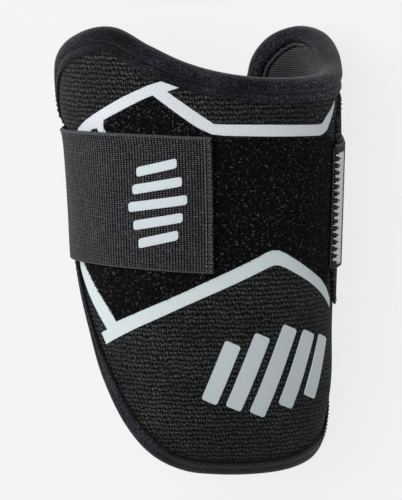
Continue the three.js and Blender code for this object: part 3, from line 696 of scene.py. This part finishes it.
def liner_lip():
    """The lip: a half round, carried along the liner's edge, that stands on the inner face of the wall."""
    edge = inset(smooth_curve(flat_places(wall_rows), lip_stations), liner_inset + lip_width / 2)
    backing = -(wall_at(edge) + inner_clearance)
    angle = np.linspace(0, 2 * np.pi, lip_corners, endpoint=False)
    across = 0.5 * lip_width * np.cos(angle)
    rise = 0.5 * liner_thickness * (1 - np.sin(angle))
    places = edge[:, None, :2] + outward(edge)[:, None] * across[None, :, None]
    return np.concatenate([places, (backing[:, None] - 0.92 * rise)[..., None]], axis=-1)


def liner_fabric():
    """Charcoal brushed laminate with a short pale nap along the ribs, painted darker between them as shade
    and lighter on their crests as highlight.
    """
    material, tree, shader = new_material("ribbed lining", 0.9, sheen=0.15, specular=0.15)
    along = split(tree, flat_place(tree))["Y"]
    wave = calc(tree, "MULTIPLY", calc(tree, "SUBTRACT", along, rib_start), 2 * math.pi / rib_pitch)
    crest = calc(tree, "MULTIPLY_ADD", calc(tree, "COSINE", wave), -0.5, 0.5)
    fleck = yarn(tree, 1300)
    # painted shade in the troughs between the ribs and painted highlight on their crests
    base = mix(tree, crest, colour(30, 28, 31), colour(84, 81, 86))
    base = mix(tree, calc(tree, "MULTIPLY", fleck["Fleck"], 0.35), base, colour(120, 118, 122))
    set_finish(tree, shader, base, calc(tree, "MULTIPLY_ADD", fleck["Grain"], 0.5, crest), 0.2 * mm)
    return material


liner_cloth = liner_fabric()
liner_flat, liner_back, liner_face = liner_slab()
liner = add_piece(
    "ribbed_liner",
    *closed_grid(flat_on_form(liner_flat, liner_back), flat_on_form(liner_flat, liner_face)),
    np.stack([liner_flat, liner_flat]),
    liner_cloth,
    "liner",
    ["inner_liner"],
    crease=1.2,
)
lip_profile = liner_lip()
add_piece(
    "liner_lip",
    *swept(flat_on_form(lip_profile[None, ..., :2], lip_profile[None, ..., 2]), closed=True),
    lip_profile[..., :2].reshape(-1, 2),
    liner_cloth,
    "liner",
)

# Loop panel
# A dense loop pile, the soft half of the touch fastener, is sewn on the front where the strap's end closes.
# Its backing is a thin knit, and its small crimped loops stand up all over it and lean over its edge.

pile_gap, pile_backing = 0.3 * mm, 0.7 * mm
loop_count, loop_height, loop_span, loop_yarn = 8000, 0.55 * mm, 1.1 * mm, 0.1 * mm
loop_overhang, covered_middle, covered_half = 0.5 * mm, 27 * mm, 28 * mm

loop_rows = [
    (-0.110, 0.3475), (-0.005, 0.278), (0.022, 0.2675), (0.053, 0.2645), (0.191, 0.2605), (0.312, 0.2575),
    (0.345, 0.262), (0.362, 0.245), (0.366, 0.100), (0.366, -0.030), (0.360, -0.0735), (0.331, -0.0525),
    (0.299, -0.0355), (0.253, -0.0105), (0.209, 0.0122), (0.188, 0.0202), (0.169, 0.0212), (0.153, 0.0172),
    (0.126, 0.0052), (0.043, -0.0277), (-0.077, -0.0757), (-0.246, -0.1395), (-0.2595, -0.1205),
    (-0.2975, -0.0825), (-0.3345, -0.0465), (-0.372, -0.009), (-0.376, 0.012), (-0.340, 0.060),
    (-0.256, 0.248), (-0.234, 0.254), (-0.2415, 0.281), (-0.2355, 0.2955), (-0.183, 0.3195),
    (-0.139, 0.3395),
]


def straight_cut(rows, spacing):
    """A closed outline cut straight from corner to corner, with places along each cut at about a spacing."""
    corners = flat_places(rows)
    following = np.roll(corners, -1, axis=0)
    steps = np.ceil(np.linalg.norm(following - corners, axis=1) / spacing).astype(int)
    shares = [np.linspace(0, 1, count, endpoint=False)[:, None] for count in steps]
    return np.concatenate([a + (b - a) * share for a, b, share in zip(corners, following, shares)])


def inside(places, outline):
    """Whether each flat place lies inside a closed outline: an odd number of edges cross the line to its
    right."""
    x, y = outline[:, 0], outline[:, 1]
    next_x, next_y = np.roll(x, -1), np.roll(y, -1)
    above = (y[None] > places[:, 1:2]) != (next_y[None] > places[:, 1:2])
    crossing = x + (places[:, 1:2] - y) * (next_x - x) / np.where(next_y == y, 1, next_y - y)
    return (above & (places[:, :1] < crossing)).sum(axis=1) % 2 == 1


def cut_sheet(outline, spacing):
    """A flat piece cut along an outline: its places and triangles, with places inside it on a triangular
    grid of the given spacing."""
    edges = outline[:, :2]
    low, high = edges.min(axis=0), edges.max(axis=0)
    x, y = np.meshgrid(np.arange(low[0], high[0], spacing), np.arange(low[1], high[1], spacing * 0.866))
    x[1::2] += spacing / 2
    grid = np.column_stack([x.ravel(), y.ravel()])
    kept = inside(grid, outline) & (nearest(grid, edges)[0] > spacing * 0.6)
    corners = [Vector(place) for place in np.concatenate([edges, grid[kept]]) / mm]
    face = list(range(len(outline)))
    places, _, triangles, _, _, _ = delaunay_2d_cdt(corners, [], [face], 1, 1e-5)
    return np.array([place[:] for place in places]) * mm, np.array(triangles)


def raised_sheet(places, triangles, low, high, lay=flat_on_form):
    """A cut sheet with thickness, laid on a surface: its two faces at their offsets, and its cut edge
    between them."""
    count = len(places)
    edges = np.concatenate([triangles[:, [0, 1]], triangles[:, [1, 2]], triangles[:, [2, 0]]])
    both_ways = set(map(tuple, edges[:, ::-1].tolist()))
    rim = np.array([edge for edge in edges.tolist() if tuple(edge) not in both_ways])
    a, b = rim.T
    sides = np.concatenate([np.stack([a, a + count, b + count], -1), np.stack([a, b + count, b], -1)])
    points = np.concatenate([lay(places, high), lay(places, low)])
    return points, np.concatenate([triangles, triangles[:, ::-1] + count, sides])


def add_sheet(name, places, triangles, low, thickness, material, slot, cad_node, edge, lay=flat_on_form):
    """A piece cut as a flat sheet: laid on a surface at an offset, with its thickness and its place in the
    flat pattern, and with its cut edges rounded over a small width."""
    points, faces = raised_sheet(places, triangles, low, low + thickness, lay)
    flat = np.concatenate([places, places])
    piece = add_piece(name, points, faces, flat, material, slot, [cad_node], crease=0.9)
    bevel = piece.modifiers.new("rounded edge", "BEVEL")
    bevel.width = edge
    bevel.segments = 2
    bevel.limit_method = "ANGLE"
    bevel.angle_limit = math.radians(50)


def thread_rings(paths, ups, radius, sides, taper=0.35):
    """Round threads along paths[thread, station]: rings of a radius about each station, across the path and
    the given up direction, drawn in at both ends."""
    along = np.gradient(paths, axis=1)
    along /= np.linalg.norm(along, axis=-1, keepdims=True)
    across = np.cross(along, ups)
    across /= np.linalg.norm(across, axis=-1, keepdims=True)
    up = np.cross(across, along)
    angle = np.linspace(0, 2 * np.pi, sides, endpoint=False)[None, None, :, None]
    size = np.full(paths.shape[1], radius)
    size[[0, -1]] *= taper
    ring = np.cos(angle) * across[:, :, None] + np.sin(angle) * up[:, :, None]
    return paths[:, :, None] + ring * size[None, :, None, None]


def thread_mesh(rings, flat):
    """Threads as points, triangles and flat places: the corners of a ring take the place of its station,
    and the middles of the end caps take none."""
    points, triangles = swept(rings)
    places = np.broadcast_to(flat[:, :, None], (*rings.shape[:3], 2)).reshape(-1, 2)
    return points, triangles, np.concatenate([places, np.zeros((len(points) - len(places), 2))])


def flecked_material(name, ground, light, scale, depth, share=1.0, **gloss):
    """A dark ground with lighter flecks, as a share of the second colour, and a fine grain."""
    material, tree, shader = new_material(name, **gloss)
    fleck = yarn(tree, scale)
    base = mix(tree, calc(tree, "MULTIPLY", fleck["Fleck"], share), ground, light)
    set_finish(tree, shader, base, fleck["Grain"], depth)
    return material


def pile_loops(outline, generator):
    """Small arches of yarn, seeded over the panel but not under the closed strap: each stands on the
    backing, turned and leaning its own way, and rises as a sine over its span."""
    low, high = outline[:, :2].min(axis=0), outline[:, :2].max(axis=0)
    tries = generator.uniform(low - loop_overhang, high + loop_overhang, (loop_count * 3, 2))
    grown = outline[:, :2] + outward(outline) * loop_overhang
    covered = (tries[:, 0] < 0) & (np.abs(tries[:, 1] - covered_middle) < covered_half)
    roots = tries[inside(tries, grown) & ~covered][:loop_count]
    count = len(roots)
    heading = generator.uniform(0, 2 * np.pi, count)
    span = generator.uniform(0.6, 1.25, count) * loop_span
    rise = generator.uniform(0.5, 1.3, count) * loop_height
    lean = generator.normal(0, 0.3 * mm, (count, 2))
    share = np.linspace(0, 1, 4)
    run = (share - 0.5)[None, :, None] * span[:, None, None]
    direction = np.column_stack([np.cos(heading), np.sin(heading)])[:, None]
    arch = np.sin(np.pi * share)[None, :]
    flat = roots[:, None] + run * direction + arch[..., None] * lean[:, None]
    offset = pile_gap + pile_backing * 0.8 + arch * rise[:, None]
    paths = flat_on_form(flat, offset)
    ups = paths - flat_on_form(flat, offset - mm)
    rings = thread_rings(paths, ups + 0.3 * mm * generator.normal(0, 1, (count, 1, 3)), loop_yarn, 3)
    return thread_mesh(rings, flat)


pile = flecked_material(
    "loop pile", colour(5, 5, 6), colour(92, 92, 97), 900, 0.3 * mm, roughness=0.95, sheen=0.04, specular=0.1
)
loop_outline = straight_cut(loop_rows, 1.4 * mm)
pile_cut = cut_sheet(loop_outline, 2.2 * mm)
add_sheet("loop_backing", *pile_cut, pile_gap, pile_backing, pile, "pile", "loop_panel", 0.2 * mm)
add_piece("pile_loops", *pile_loops(loop_outline, np.random.default_rng(7)), pile, "pile")

# Films
# Two sheets of matte elastic film, heat-bonded to the cover, frame the loop panel: a lavender grey one round
# its top and a paler green-grey one under it. Each is cut straight from corner to corner, with sharp tips.

film_thickness, film_gap = 0.5 * mm, 0.05 * mm

upper_film_rows = [
    (-0.368, 0.258), (-0.336, 0.276), (-0.251, 0.317), (-0.183, 0.350), (-0.122, 0.375), (-0.090, 0.384),
    (-0.045, 0.371), (-0.075, 0.362), (0.034, 0.293), (0.059, 0.292), (0.168, 0.290), (0.311, 0.285),
    (0.328, 0.287), (0.349, 0.302), (0.373, 0.316), (0.396, 0.332), (0.388, 0.316), (0.365, 0.292),
    (0.344, 0.272), (0.326, 0.264), (0.312, 0.261), (0.191, 0.264), (0.053, 0.268), (0.023, 0.271),
    (-0.004, 0.283), (-0.110, 0.354), (-0.139, 0.343), (-0.183, 0.323), (-0.239, 0.298), (-0.246, 0.281),
    (-0.238, 0.256), (-0.264, 0.256), (-0.266, 0.280), (-0.287, 0.276), (-0.300, 0.258),
]
lower_film_rows = [
    (-0.415, 0.012), (-0.394, -0.040), (-0.352, -0.088), (-0.311, -0.131), (-0.281, -0.164),
    (-0.306, -0.173), (-0.292, -0.198), (-0.194, -0.157), (-0.048, -0.099), (0.089, -0.047),
    (0.155, -0.021), (0.174, -0.015), (0.189, -0.016), (0.209, -0.023), (0.280, -0.056), (0.325, -0.081),
    (0.368, -0.108), (0.394, -0.126), (0.388, -0.104), (0.362, -0.079), (0.331, -0.056), (0.299, -0.039),
    (0.253, -0.014), (0.208, 0.009), (0.188, 0.017), (0.169, 0.018), (0.154, 0.014), (0.127, 0.002),
    (0.044, -0.031), (-0.076, -0.079), (-0.248, -0.144), (-0.263, -0.123), (-0.301, -0.085),
    (-0.338, -0.049), (-0.380, -0.010), (-0.388, 0.012),
]


def film_material(name, tint, shade):
    """Matte film with the cover's mesh faintly pressed through it."""
    material, tree, shader = new_material(name, 0.6, specular=0.2)
    across, along = cover_mesh_pitch
    slots = placed_group(tree, slot_mesh, Flat=flat_place(tree), Across=across, Along=along)
    grain = calc(tree, "MULTIPLY", yarn(tree, 700)["Grain"], 0.2)
    pressed = calc(tree, "MULTIPLY_ADD", slots["Slot"], 0.18, grain)
    height = calc(tree, "MULTIPLY", slots["Thread"], -1)
    set_finish(tree, shader, mix(tree, pressed, tint, shade), height, 0.05 * mm)
    return material


def add_film(name, rows, material, cad_node):
    """A film cut from its corners as one sheet and bonded on the cover."""
    cut = cut_sheet(straight_cut(rows, 1.5 * mm), 2 * mm)
    add_sheet(name, *cut, film_gap, film_thickness, material, "film", cad_node, 0.12 * mm)


lavender = film_material("lavender grey film", colour(226, 231, 236), colour(186, 191, 198))
green_grey = film_material("green grey film", colour(222, 232, 234), colour(184, 195, 198))
add_film("film_upper", upper_film_rows, lavender, "upper_film")
add_film("film_lower", lower_film_rows, green_grey, "lower_film")

# Anchor patch
# A folded patch of the cover's mesh is sewn round the right side, over the strap's fixed end, and carries
# its pull into the shell. A row of stitches runs inside its edge, as one does along the binding's flange.

patch_thickness, patch_stations, patch_seam, flange_seam = 1.3 * mm, 260, 2 * mm, 1.3 * mm
stitch_pitch, stitch_length, stitch_radius = 3.1 * mm, 2.1 * mm, 0.22 * mm

anchor_rows = [
    (0.398, 0.262), (0.412, 0.292), (0.448, 0.328), (0.480, 0.340), (0.600, 0.338), (0.618, 0.310),
    (0.624, 0.110), (0.618, -0.090), (0.598, -0.118), (0.445, -0.122), (0.404, -0.080), (0.394, 0.080),
]


def stitches(line, lay, offset, pitch, length, radius):
    """A running stitch along a line of places: short threads at a pitch that dip at both ends, laid on a
    surface at an offset."""
    step = np.linalg.norm(np.diff(line, axis=0), axis=1)
    run = np.concatenate([[0], np.cumsum(step)])
    starts = np.arange(0, run[-1] - length, pitch)
    share = np.linspace(0, 1, 5)
    at = starts[:, None] + share[None] * length
    flat = np.stack([np.interp(at, run, line[:, 0]), np.interp(at, run, line[:, 1])], axis=-1)
    over = offset + radius * (2 * np.sin(np.pi * share) - 0.8)
    paths = lay(flat, np.broadcast_to(over, at.shape))
    ups = paths - lay(flat, np.broadcast_to(over - mm, at.shape))
    return thread_mesh(thread_rings(paths, ups, radius, 6), flat)


def thread_material(name, tint):
    """Twisted sewing thread with fine grain."""
    material, tree, shader = new_material(name, 0.7, sheen=0.1, specular=0.2)
    grain = yarn(tree, 2200)["Grain"]
    dim = tuple(0.7 * part for part in tint[:3]) + (1,)
    set_finish(tree, shader, mix(tree, grain, dim, tint), grain, 0.05 * mm)
    return material


def add_seam(name, outline, distance, height, slot):
    """A running stitch in dark thread at a distance inside an outline, on a face at a height."""
    line = inset(outline, distance)[:, :2]
    line = np.concatenate([line, line[:1]])
    seam = stitches(line, flat_on_form, height, stitch_pitch, stitch_length, stitch_radius)
    add_piece(name, *seam, dark_thread, slot)


dark_thread = thread_material("dark thread", colour(12, 12, 14))
anchor_outline = smooth_curve(flat_places(anchor_rows), patch_stations)
anchor_cut = cut_sheet(anchor_outline, 2 * mm)
add_sheet(
    "anchor_mesh_patch", *anchor_cut, pile_gap, patch_thickness, cover_fabric, "mesh_cover",
    "anchor_patch", 0.45 * mm,
)
add_seam("anchor_stitches", anchor_outline, patch_seam, pile_gap + patch_thickness, "mesh_cover")
binding_seam = (flange_at(wall_outline) - flange_seam)[:, None]
add_seam("binding_stitches", wall_outline, binding_seam, outer_clearance + binding_thickness, "binding")

# Elbow strap
# A 62 mm woven elastic is sewn down on the right side by a pale zigzag, runs round the back, bridges the gap
# to the left side and closes over the loop panel. Its face has ribs along its length, its free end a hem.

strap_width, strap_thickness = 62.5 * mm, 1.6 * mm
strap_height, strap_rise, strap_dip = 25.8 * mm, 5 * mm, 3.4 * mm
seam_gather, gather_from, gather_to = 4.2 * mm, 22 * mm, 60 * mm
strap_start, bridge_start, bridge_end, strap_end = 0.374, 1.07, 1.455, 2.020
dip_start, dip_end = 1.7, 2.1
bridge_handle, column_step = 13 * mm, 1 / 24
hook_thickness, hook_length, hook_ramp, hook_lead = 1 * mm, 42 * mm, 0.12, 0.02
pile_thickness, layer_gap = 1.2 * mm, 0.3 * mm
strap_rib, strap_rib_height, column_pitch = 1.7 * mm, 0.25 * mm, 1.3 * mm
strap_stations, strap_ribs, back_corners, back_half = 430, 37, 21, 0.494
selvedge_from, selvedge_full = 29.8 * mm, 30.4 * mm
hem_length, hem_rise, hem_seams, hem_half = 4.6 * mm, 0.35 * mm, (1.6 * mm, 3.4 * mm), 30.2 * mm
strap_seat = outer_clearance + binding_thickness + layer_gap
strap_lift = 3 * layer_gap + pile_thickness + hook_thickness - strap_seat
strap_girth = float(half_girth(strap_height))
hook_start = strap_end - hook_length / strap_girth


def strap_point(turn, y):
    """The form, but from the wing to the left side a cubic that leaves and meets it along its run."""
    turn, y = np.broadcast_arrays(turn, y)
    share = np.clip((turn - bridge_start) / (bridge_end - bridge_start), 0, 1)[..., None]
    start, end = on_form(np.full_like(y, bridge_start), y), on_form(np.full_like(y, bridge_end), y)
    leaving = start - on_form(np.full_like(y, bridge_start - column_step), y)
    arriving = on_form(np.full_like(y, bridge_end + column_step), y) - end
    leaving *= bridge_handle / np.linalg.norm(leaving, axis=-1, keepdims=True)
    arriving *= bridge_handle / np.linalg.norm(arriving, axis=-1, keepdims=True)
    curve = start * (1 - share) ** 3 + 3 * (start + leaving) * share * (1 - share) ** 2
    curve += 3 * (end - arriving) * share ** 2 * (1 - share) + end * share ** 3
    bridged = (share > 0) & (share < 1)
    return np.where(bridged, curve, on_form(turn, y))


def on_strap(turn, y, offset):
    """Points set off the strap's surface along its normal, which comes from two short steps on it."""
    turn_step, height_step = 0.004, 0.5 * mm
    across = strap_point(turn + turn_step, y) - strap_point(turn - turn_step, y)
    along = strap_point(turn, y + height_step) - strap_point(turn, y - height_step)
    normal = np.cross(across, along)
    normal /= np.linalg.norm(normal, axis=-1, keepdims=True)
    return strap_point(turn, y) + normal * np.asarray(offset)[..., None]


def strap_low(turn):
    """The strap's underside: seated over the binding, and lifted onto the hook patch near its end."""
    return strap_seat + strap_lift * smooth_step(hook_start - hook_ramp, hook_start - hook_lead, turn)


def strap_middle(turn):
    """The height of the strap's middle line: it rises evenly along its turn, and its free end dips."""
    rise = strap_rise * ((turn - strap_start) / (strap_end - strap_start) - 0.5)
    return strap_height + rise - strap_dip * smooth_step(dip_start, dip_end, turn)


def gathered(from_start, width):
    """A place across the strap, drawn down from its upper edge where the seam gathers its fixed end."""
    draw = seam_gather * (1 - smooth_step(gather_from, gather_to, from_start))
    return width - draw * (width / strap_width + 0.5)


def lay_on_strap(places, offset):
    """Places on the strap, a run from its end and a distance from its middle line, at an offset from its
    face."""
    turn = strap_end + places[..., 0] / strap_girth
    y = strap_middle(turn) + gathered((turn - strap_start) * strap_girth, places[..., 1])
    return on_strap(turn, y, strap_low(turn) + strap_thickness + offset)


def strap_rings():
    """The strap's section at even turns: ribs as the rectified sine of the rib pitch over the face, rounded
    selvedges, a flat back, and the hem's doubled end."""
    selvedge_share, rib_corners = 0.008, 4
    turn = np.linspace(strap_start, strap_end, strap_stations)[:, None]
    across = np.linspace(-0.5, 0.5, strap_ribs * rib_corners + 1)[None]
    edge = np.minimum(0.5 - np.abs(across), selvedge_share) / selvedge_share
    rib = strap_rib_height * (np.abs(np.sin(np.pi * strap_ribs * (across + 0.5))) - 1)
    from_end = (strap_end - turn) * strap_girth
    hem = hem_rise * (1 - smooth_step(hem_length - 0.6 * mm, hem_length, from_end))
    tip = smooth_step(0, 0.5 * mm, from_end)
    face = strap_thickness * np.sqrt(np.maximum(edge * (2 - edge), 0.04)) + rib * tip + hem * tip
    under = np.linspace(back_half, -back_half, back_corners)[None]
    width = np.concatenate([across, under], axis=1) * strap_width
    rise = np.concatenate([face, np.zeros((strap_stations, back_corners))], axis=1)
    y = strap_middle(turn) + gathered((turn - strap_start) * strap_girth, width)
    turn, run, width = np.broadcast_arrays(turn, (turn - strap_end) * strap_girth, width)
    return on_strap(turn, y, strap_low(turn) + rise), np.stack([run, width], -1)


def elastic_fabric():
    """Charcoal woven elastic: light yarn crossings in columns along ribs, dark between them."""
    material, tree, shader = new_material("woven elastic", 0.85, sheen=0.08, specular=0.1)
    parts = split(tree, flat_place(tree))
    fleck = yarn(tree, 1100)
    waves = []
    for part, pitch in (("X", column_pitch), ("Y", strap_rib / 2)):
        angle = calc(tree, "MULTIPLY", parts[part], 2 * math.pi / pitch)
        waves.append(calc(tree, "MULTIPLY_ADD", calc(tree, "SINE", angle), 0.5, 0.5))
    dot = ramp(tree, calc(tree, "MULTIPLY", *waves), 0.1, 0.75)
    dot = calc(tree, "MULTIPLY", dot, ramp(tree, fleck["Grain"], 0.3, 0.6, 0.35, 1))
    base = mix(tree, dot, colour(6, 6, 7), colour(118, 118, 124))
    selvedge = ramp(tree, calc(tree, "ABSOLUTE", parts["Y"]), selvedge_from, selvedge_full)
    base = mix(tree, calc(tree, "MULTIPLY", selvedge, 0.6), base, colour(88, 88, 94))
    base = mix(tree, calc(tree, "MULTIPLY", fleck["Fleck"], 0.3), base, colour(150, 150, 156))
    set_finish(tree, shader, base, calc(tree, "MULTIPLY_ADD", fleck["Grain"], 0.6, dot), 0.3 * mm)
    return material


strap_section, section_flat = strap_rings()
strap_points, strap_triangles = swept(strap_section[None])
strap_flat = np.concatenate([section_flat.reshape(-1, 2), np.zeros((2, 2))])
add_piece(
    "woven_strap",
    strap_points,
    strap_triangles,
    strap_flat,
    elastic_fabric(),
    "elastic",
    ["elbow_strap"],
    crease=1.2,
)
pale_thread = thread_material("grey thread", colour(128, 128, 134))


def joined(parts):
    """Several meshes' points, triangles and flat places as one."""
    points, triangles, flat = zip(*parts)
    starts = np.cumsum([0] + [len(part) for part in points[:-1]])
    moved = [part + start for part, start in zip(triangles, starts)]
    return np.concatenate(points), np.concatenate(moved), np.concatenate(flat)


def row_across(run, half):
    """A straight line across the strap at a run, from edge to edge."""
    side = np.linspace(-half, half, 120)
    return np.column_stack([np.full(len(side), run), side])


hem_stitch = (1.9 * mm, 1.3 * mm, 0.2 * mm)
hem_parts = [stitches(row_across(-run, hem_half), lay_on_strap, hem_rise, *hem_stitch) for run in hem_seams]
add_piece("hem_stitches", *joined(hem_parts), pale_thread, "elastic")

# Zigzag seam
# The strap's fixed end is sewn down with a dense pale zigzag, a satin stitch whose teeth reach over the end
# onto the loop panel, between a row of edge stitches and a row of small bar stitches.

satin_right, satin_root, satin_tip, tooth_pitch = 7.6 * mm, 3.2 * mm, -0.8 * mm, 3.5 * mm
satin_pitch, satin_radius, satin_lean, satin_sharp = 0.42 * mm, 0.27 * mm, 0.35, 1.3
satin_below, satin_above, end_step = 2.7 * mm, 3.6 * mm, 1.9 * mm
start_run = -(strap_end - strap_start) * strap_girth

# the rows beside the seam: their run from the fixed end, and their pitch, length and radius
edge_half = 30.4 * mm
edge_rows = (
    (9.6 * mm, (1.45 * mm, 0.9 * mm, 0.24 * mm)),
    (-1.6 * mm, (1.4 * mm, 0.8 * mm, 0.2 * mm)),
)


def over_end(places, rise):
    """Places at the strap's fixed end, where what lies beyond the end comes down onto the loop panel."""
    beyond = smooth_step(0.2 * mm, -1.2 * mm, places[..., 0] - start_run)
    return lay_on_strap(places, rise - beyond * (strap_seat + strap_thickness - end_step))


def satin_seam():
    """The satin stitch: threads across the seam at an even pitch, whose inner ends follow a sharpened wave
    of the tooth pitch."""
    side = np.arange(satin_below - strap_width / 2, strap_width / 2 - satin_above, satin_pitch)
    tooth = np.abs(2 * np.mod(side / tooth_pitch, 1) - 1) ** satin_sharp
    inner = satin_tip + (satin_root - satin_tip) * tooth
    share = np.linspace(0, 1, 13)[None]
    run = inner[:, None] + (satin_right - inner)[:, None] * share
    slant = np.where(np.arange(len(side)) % 2, satin_lean, -satin_lean)[:, None] * satin_pitch
    flat = np.stack([start_run + run, side[:, None] + slant * (share - 0.5) * 2], axis=-1)
    over = np.broadcast_to(satin_radius * (1.4 * np.sin(np.pi * share) ** 0.5 - 0.3), run.shape)
    paths = over_end(flat, over)
    ups = paths - over_end(flat, over - mm)
    return thread_mesh(thread_rings(paths, ups, satin_radius, 6, taper=0.7), flat)


satin_thread = thread_material("satin thread", colour(252, 250, 255))
add_piece("zigzag_seam", *satin_seam(), satin_thread, "elastic")
edge_parts = [
    stitches(row_across(start_run + run, edge_half), over_end, 0.0, *sizes) for run, sizes in edge_rows
]
add_piece("seam_edge_stitches", *joined(edge_parts), pale_thread, "elastic")

# Hook patch
# The stiff half of the touch fastener lies under the strap's free end, pressed into the loops. Only its cut
# edge shows, a thin black moulded tape.

hook_tape = flecked_material(
    "moulded hook tape", colour(16, 16, 18), colour(40, 40, 44), 1400, 0.25 * mm, roughness=0.6, specular=0.4
)
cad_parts["hook_patch"].data.materials.clear()
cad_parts["hook_patch"].data.materials.append(hook_tape)

# Motif
# Five slanted bars of grey heat-transfer film, longest in the middle, are pressed on the lower panel, and
# the same bars, smaller and turned along the strap, on its free end.

bar_count, bar_thickness, bar_shorter, bar_corner = 5, 0.6 * mm, 0.16, 1.2 * mm
bar_width, bar_pitch, bar_length = 7.6 * mm, 12.6 * mm, 46 * mm
strap_bar_width, strap_bar_pitch, strap_bar_length, strap_bar_slope = 4.4 * mm, 8.2 * mm, 26 * mm, 1.2
panel_centre = np.array([0.165 * float(half_girth(0)), -0.252 * guard_length])
panel_slant = np.array([0.42, 0.91])
strap_bar_run = 0.133


def rounded_bar(length, width, corner):
    """The outline of a bar with round corners about its middle: its length along x, its width along y."""
    angle = np.linspace(0, np.pi / 2, 6)
    quarter = np.column_stack([np.cos(angle), np.sin(angle)]) * corner
    quarter += np.array([length / 2 - corner, width / 2 - corner])
    turned = [quarter, (quarter * (-1, 1))[::-1], quarter * (-1, -1), (quarter * (1, -1))[::-1]]
    corners = np.concatenate(turned)
    shares = np.linspace(0, 1, 4, endpoint=False)[:, None]
    following = np.roll(corners, -1, axis=0)
    long_edge = np.linalg.norm(following - corners, axis=1) > 2 * corner
    parts = [a + (b - a) * shares if far else a[None] for a, b, far in zip(corners, following, long_edge)]
    return np.concatenate(parts)


def bar_share(step):
    """A bar's length as a share of the middle bar's, which falls with each step away from it."""
    return 1 - bar_shorter * abs(step)


def on_panel(places, step):
    """Bar places turned onto the panel, some steps from its middle bar: the bar's length along the slant
    and its width across it."""
    centre = panel_centre + np.array([step * bar_pitch, 0])
    across = np.array([panel_slant[1], -panel_slant[0]])
    return centre + places[:, :1] * panel_slant + places[:, 1:] * across


def on_end(places, step):
    """Bar places on the strap's end, some steps from its middle bar, slanted across it by the slope."""
    run = -strap_bar_run * strap_girth + places[:, 0]
    share = places[:, 0] / (strap_bar_length * bar_share(step))
    side = step * strap_bar_pitch + places[:, 1] + strap_bar_slope * share * strap_bar_width
    return np.column_stack([run, side])


transfer = flecked_material(
    "grey transfer film", colour(208, 218, 222), colour(172, 183, 188), 1200, 0.08 * mm, 0.5,
    roughness=0.42, specular=0.5,
)

# name, place of the bars, the surface that they are pressed on, length, width
bar_rows = (
    ("panel", on_panel, flat_on_form, bar_length, bar_width),
    ("strap", on_end, lay_on_strap, strap_bar_length, strap_bar_width),
)
for number in range(1, bar_count + 1):
    step = number - (bar_count + 1) / 2
    for name, arranged, lay, length, width in bar_rows:
        places, triangles = cut_sheet(rounded_bar(length * bar_share(step), width, bar_corner), 1.6 * mm)
        add_sheet(
            f"motif_{name}_{number}", arranged(places, step), triangles, film_gap, bar_thickness, transfer,
            "motif", f"{name}_bar_{number}", 0.15 * mm, lay,
        )

# Stage
# A white table lit from below, in a studio whose left side is bright and whose right side is dark, with soft
# boxes overhead and low on both sides, seen from almost straight above.

table = 3
floor_mesh = bpy.data.meshes.new("floor")
floor_corners = [(-table, -table, 0), (table, -table, 0), (table, table, 0), (-table, table, 0)]
floor_mesh.from_pydata(floor_corners, [], [(0, 1, 2, 3)])
floor = bpy.data.objects.new("floor", floor_mesh)
bpy.context.scene.collection.objects.link(floor)
floor_material, _, floor_shader = new_material("lit white table", 0.9, specular=0.0)
floor_shader.inputs["Base Color"].default_value = (0.12, 0.12, 0.12, 1)
floor_shader.inputs["Emission Color"].default_value = (1, 1, 1, 1)
floor_shader.inputs["Emission Strength"].default_value = 0.81
floor_mesh.materials.append(floor_material)


def area_light(name, place, size, power):
    """A square soft box that faces the guard."""
    data = bpy.data.lights.new(name, "AREA")
    data.shape, data.size, data.energy = "SQUARE", size, power
    light = bpy.data.objects.new(name, data)
    light.location = place
    light.rotation_euler = (Vector((0, 0, 0.05)) - Vector(place)).to_track_quat("-Z", "Y").to_euler()
    bpy.context.scene.collection.objects.link(light)


area_light("overhead box", (-0.5, 0.3, 1.4), 1.1, 19)
area_light("left box", (-1.4, 0.45, 0.5), 0.9, 7)
area_light("right box", (1.4, -0.1, 0.25), 0.5, 3)

world = bpy.data.worlds.new("studio")
world.use_nodes = True
sky = world.node_tree
sky_across = split(sky, node(sky, "ShaderNodeTexCoord").outputs["Generated"])["X"]
sky.links.new(ramp(sky, sky_across, -0.8, 0.8, 0.74, 0.05), sky.nodes["Background"].inputs["Strength"])
bpy.context.scene.world = world
bpy.context.scene.view_settings.view_transform = "Standard"

camera_tilt, camera_distance = math.radians(7), 1.5
camera_target = Vector((0, -1.35 * mm, 50 * mm))
camera_data = bpy.data.cameras.new("camera")
camera_data.lens, camera_data.sensor_width = 227.8, 36
camera = bpy.data.objects.new("camera", camera_data)
camera.location = camera_target + camera_distance * Vector((0, math.sin(camera_tilt), math.cos(camera_tilt)))
camera.rotation_euler = (-camera_tilt, 0, 0)
bpy.context.scene.collection.objects.link(camera)
bpy.context.scene.camera = camera

bpy.context.view_layer.update()
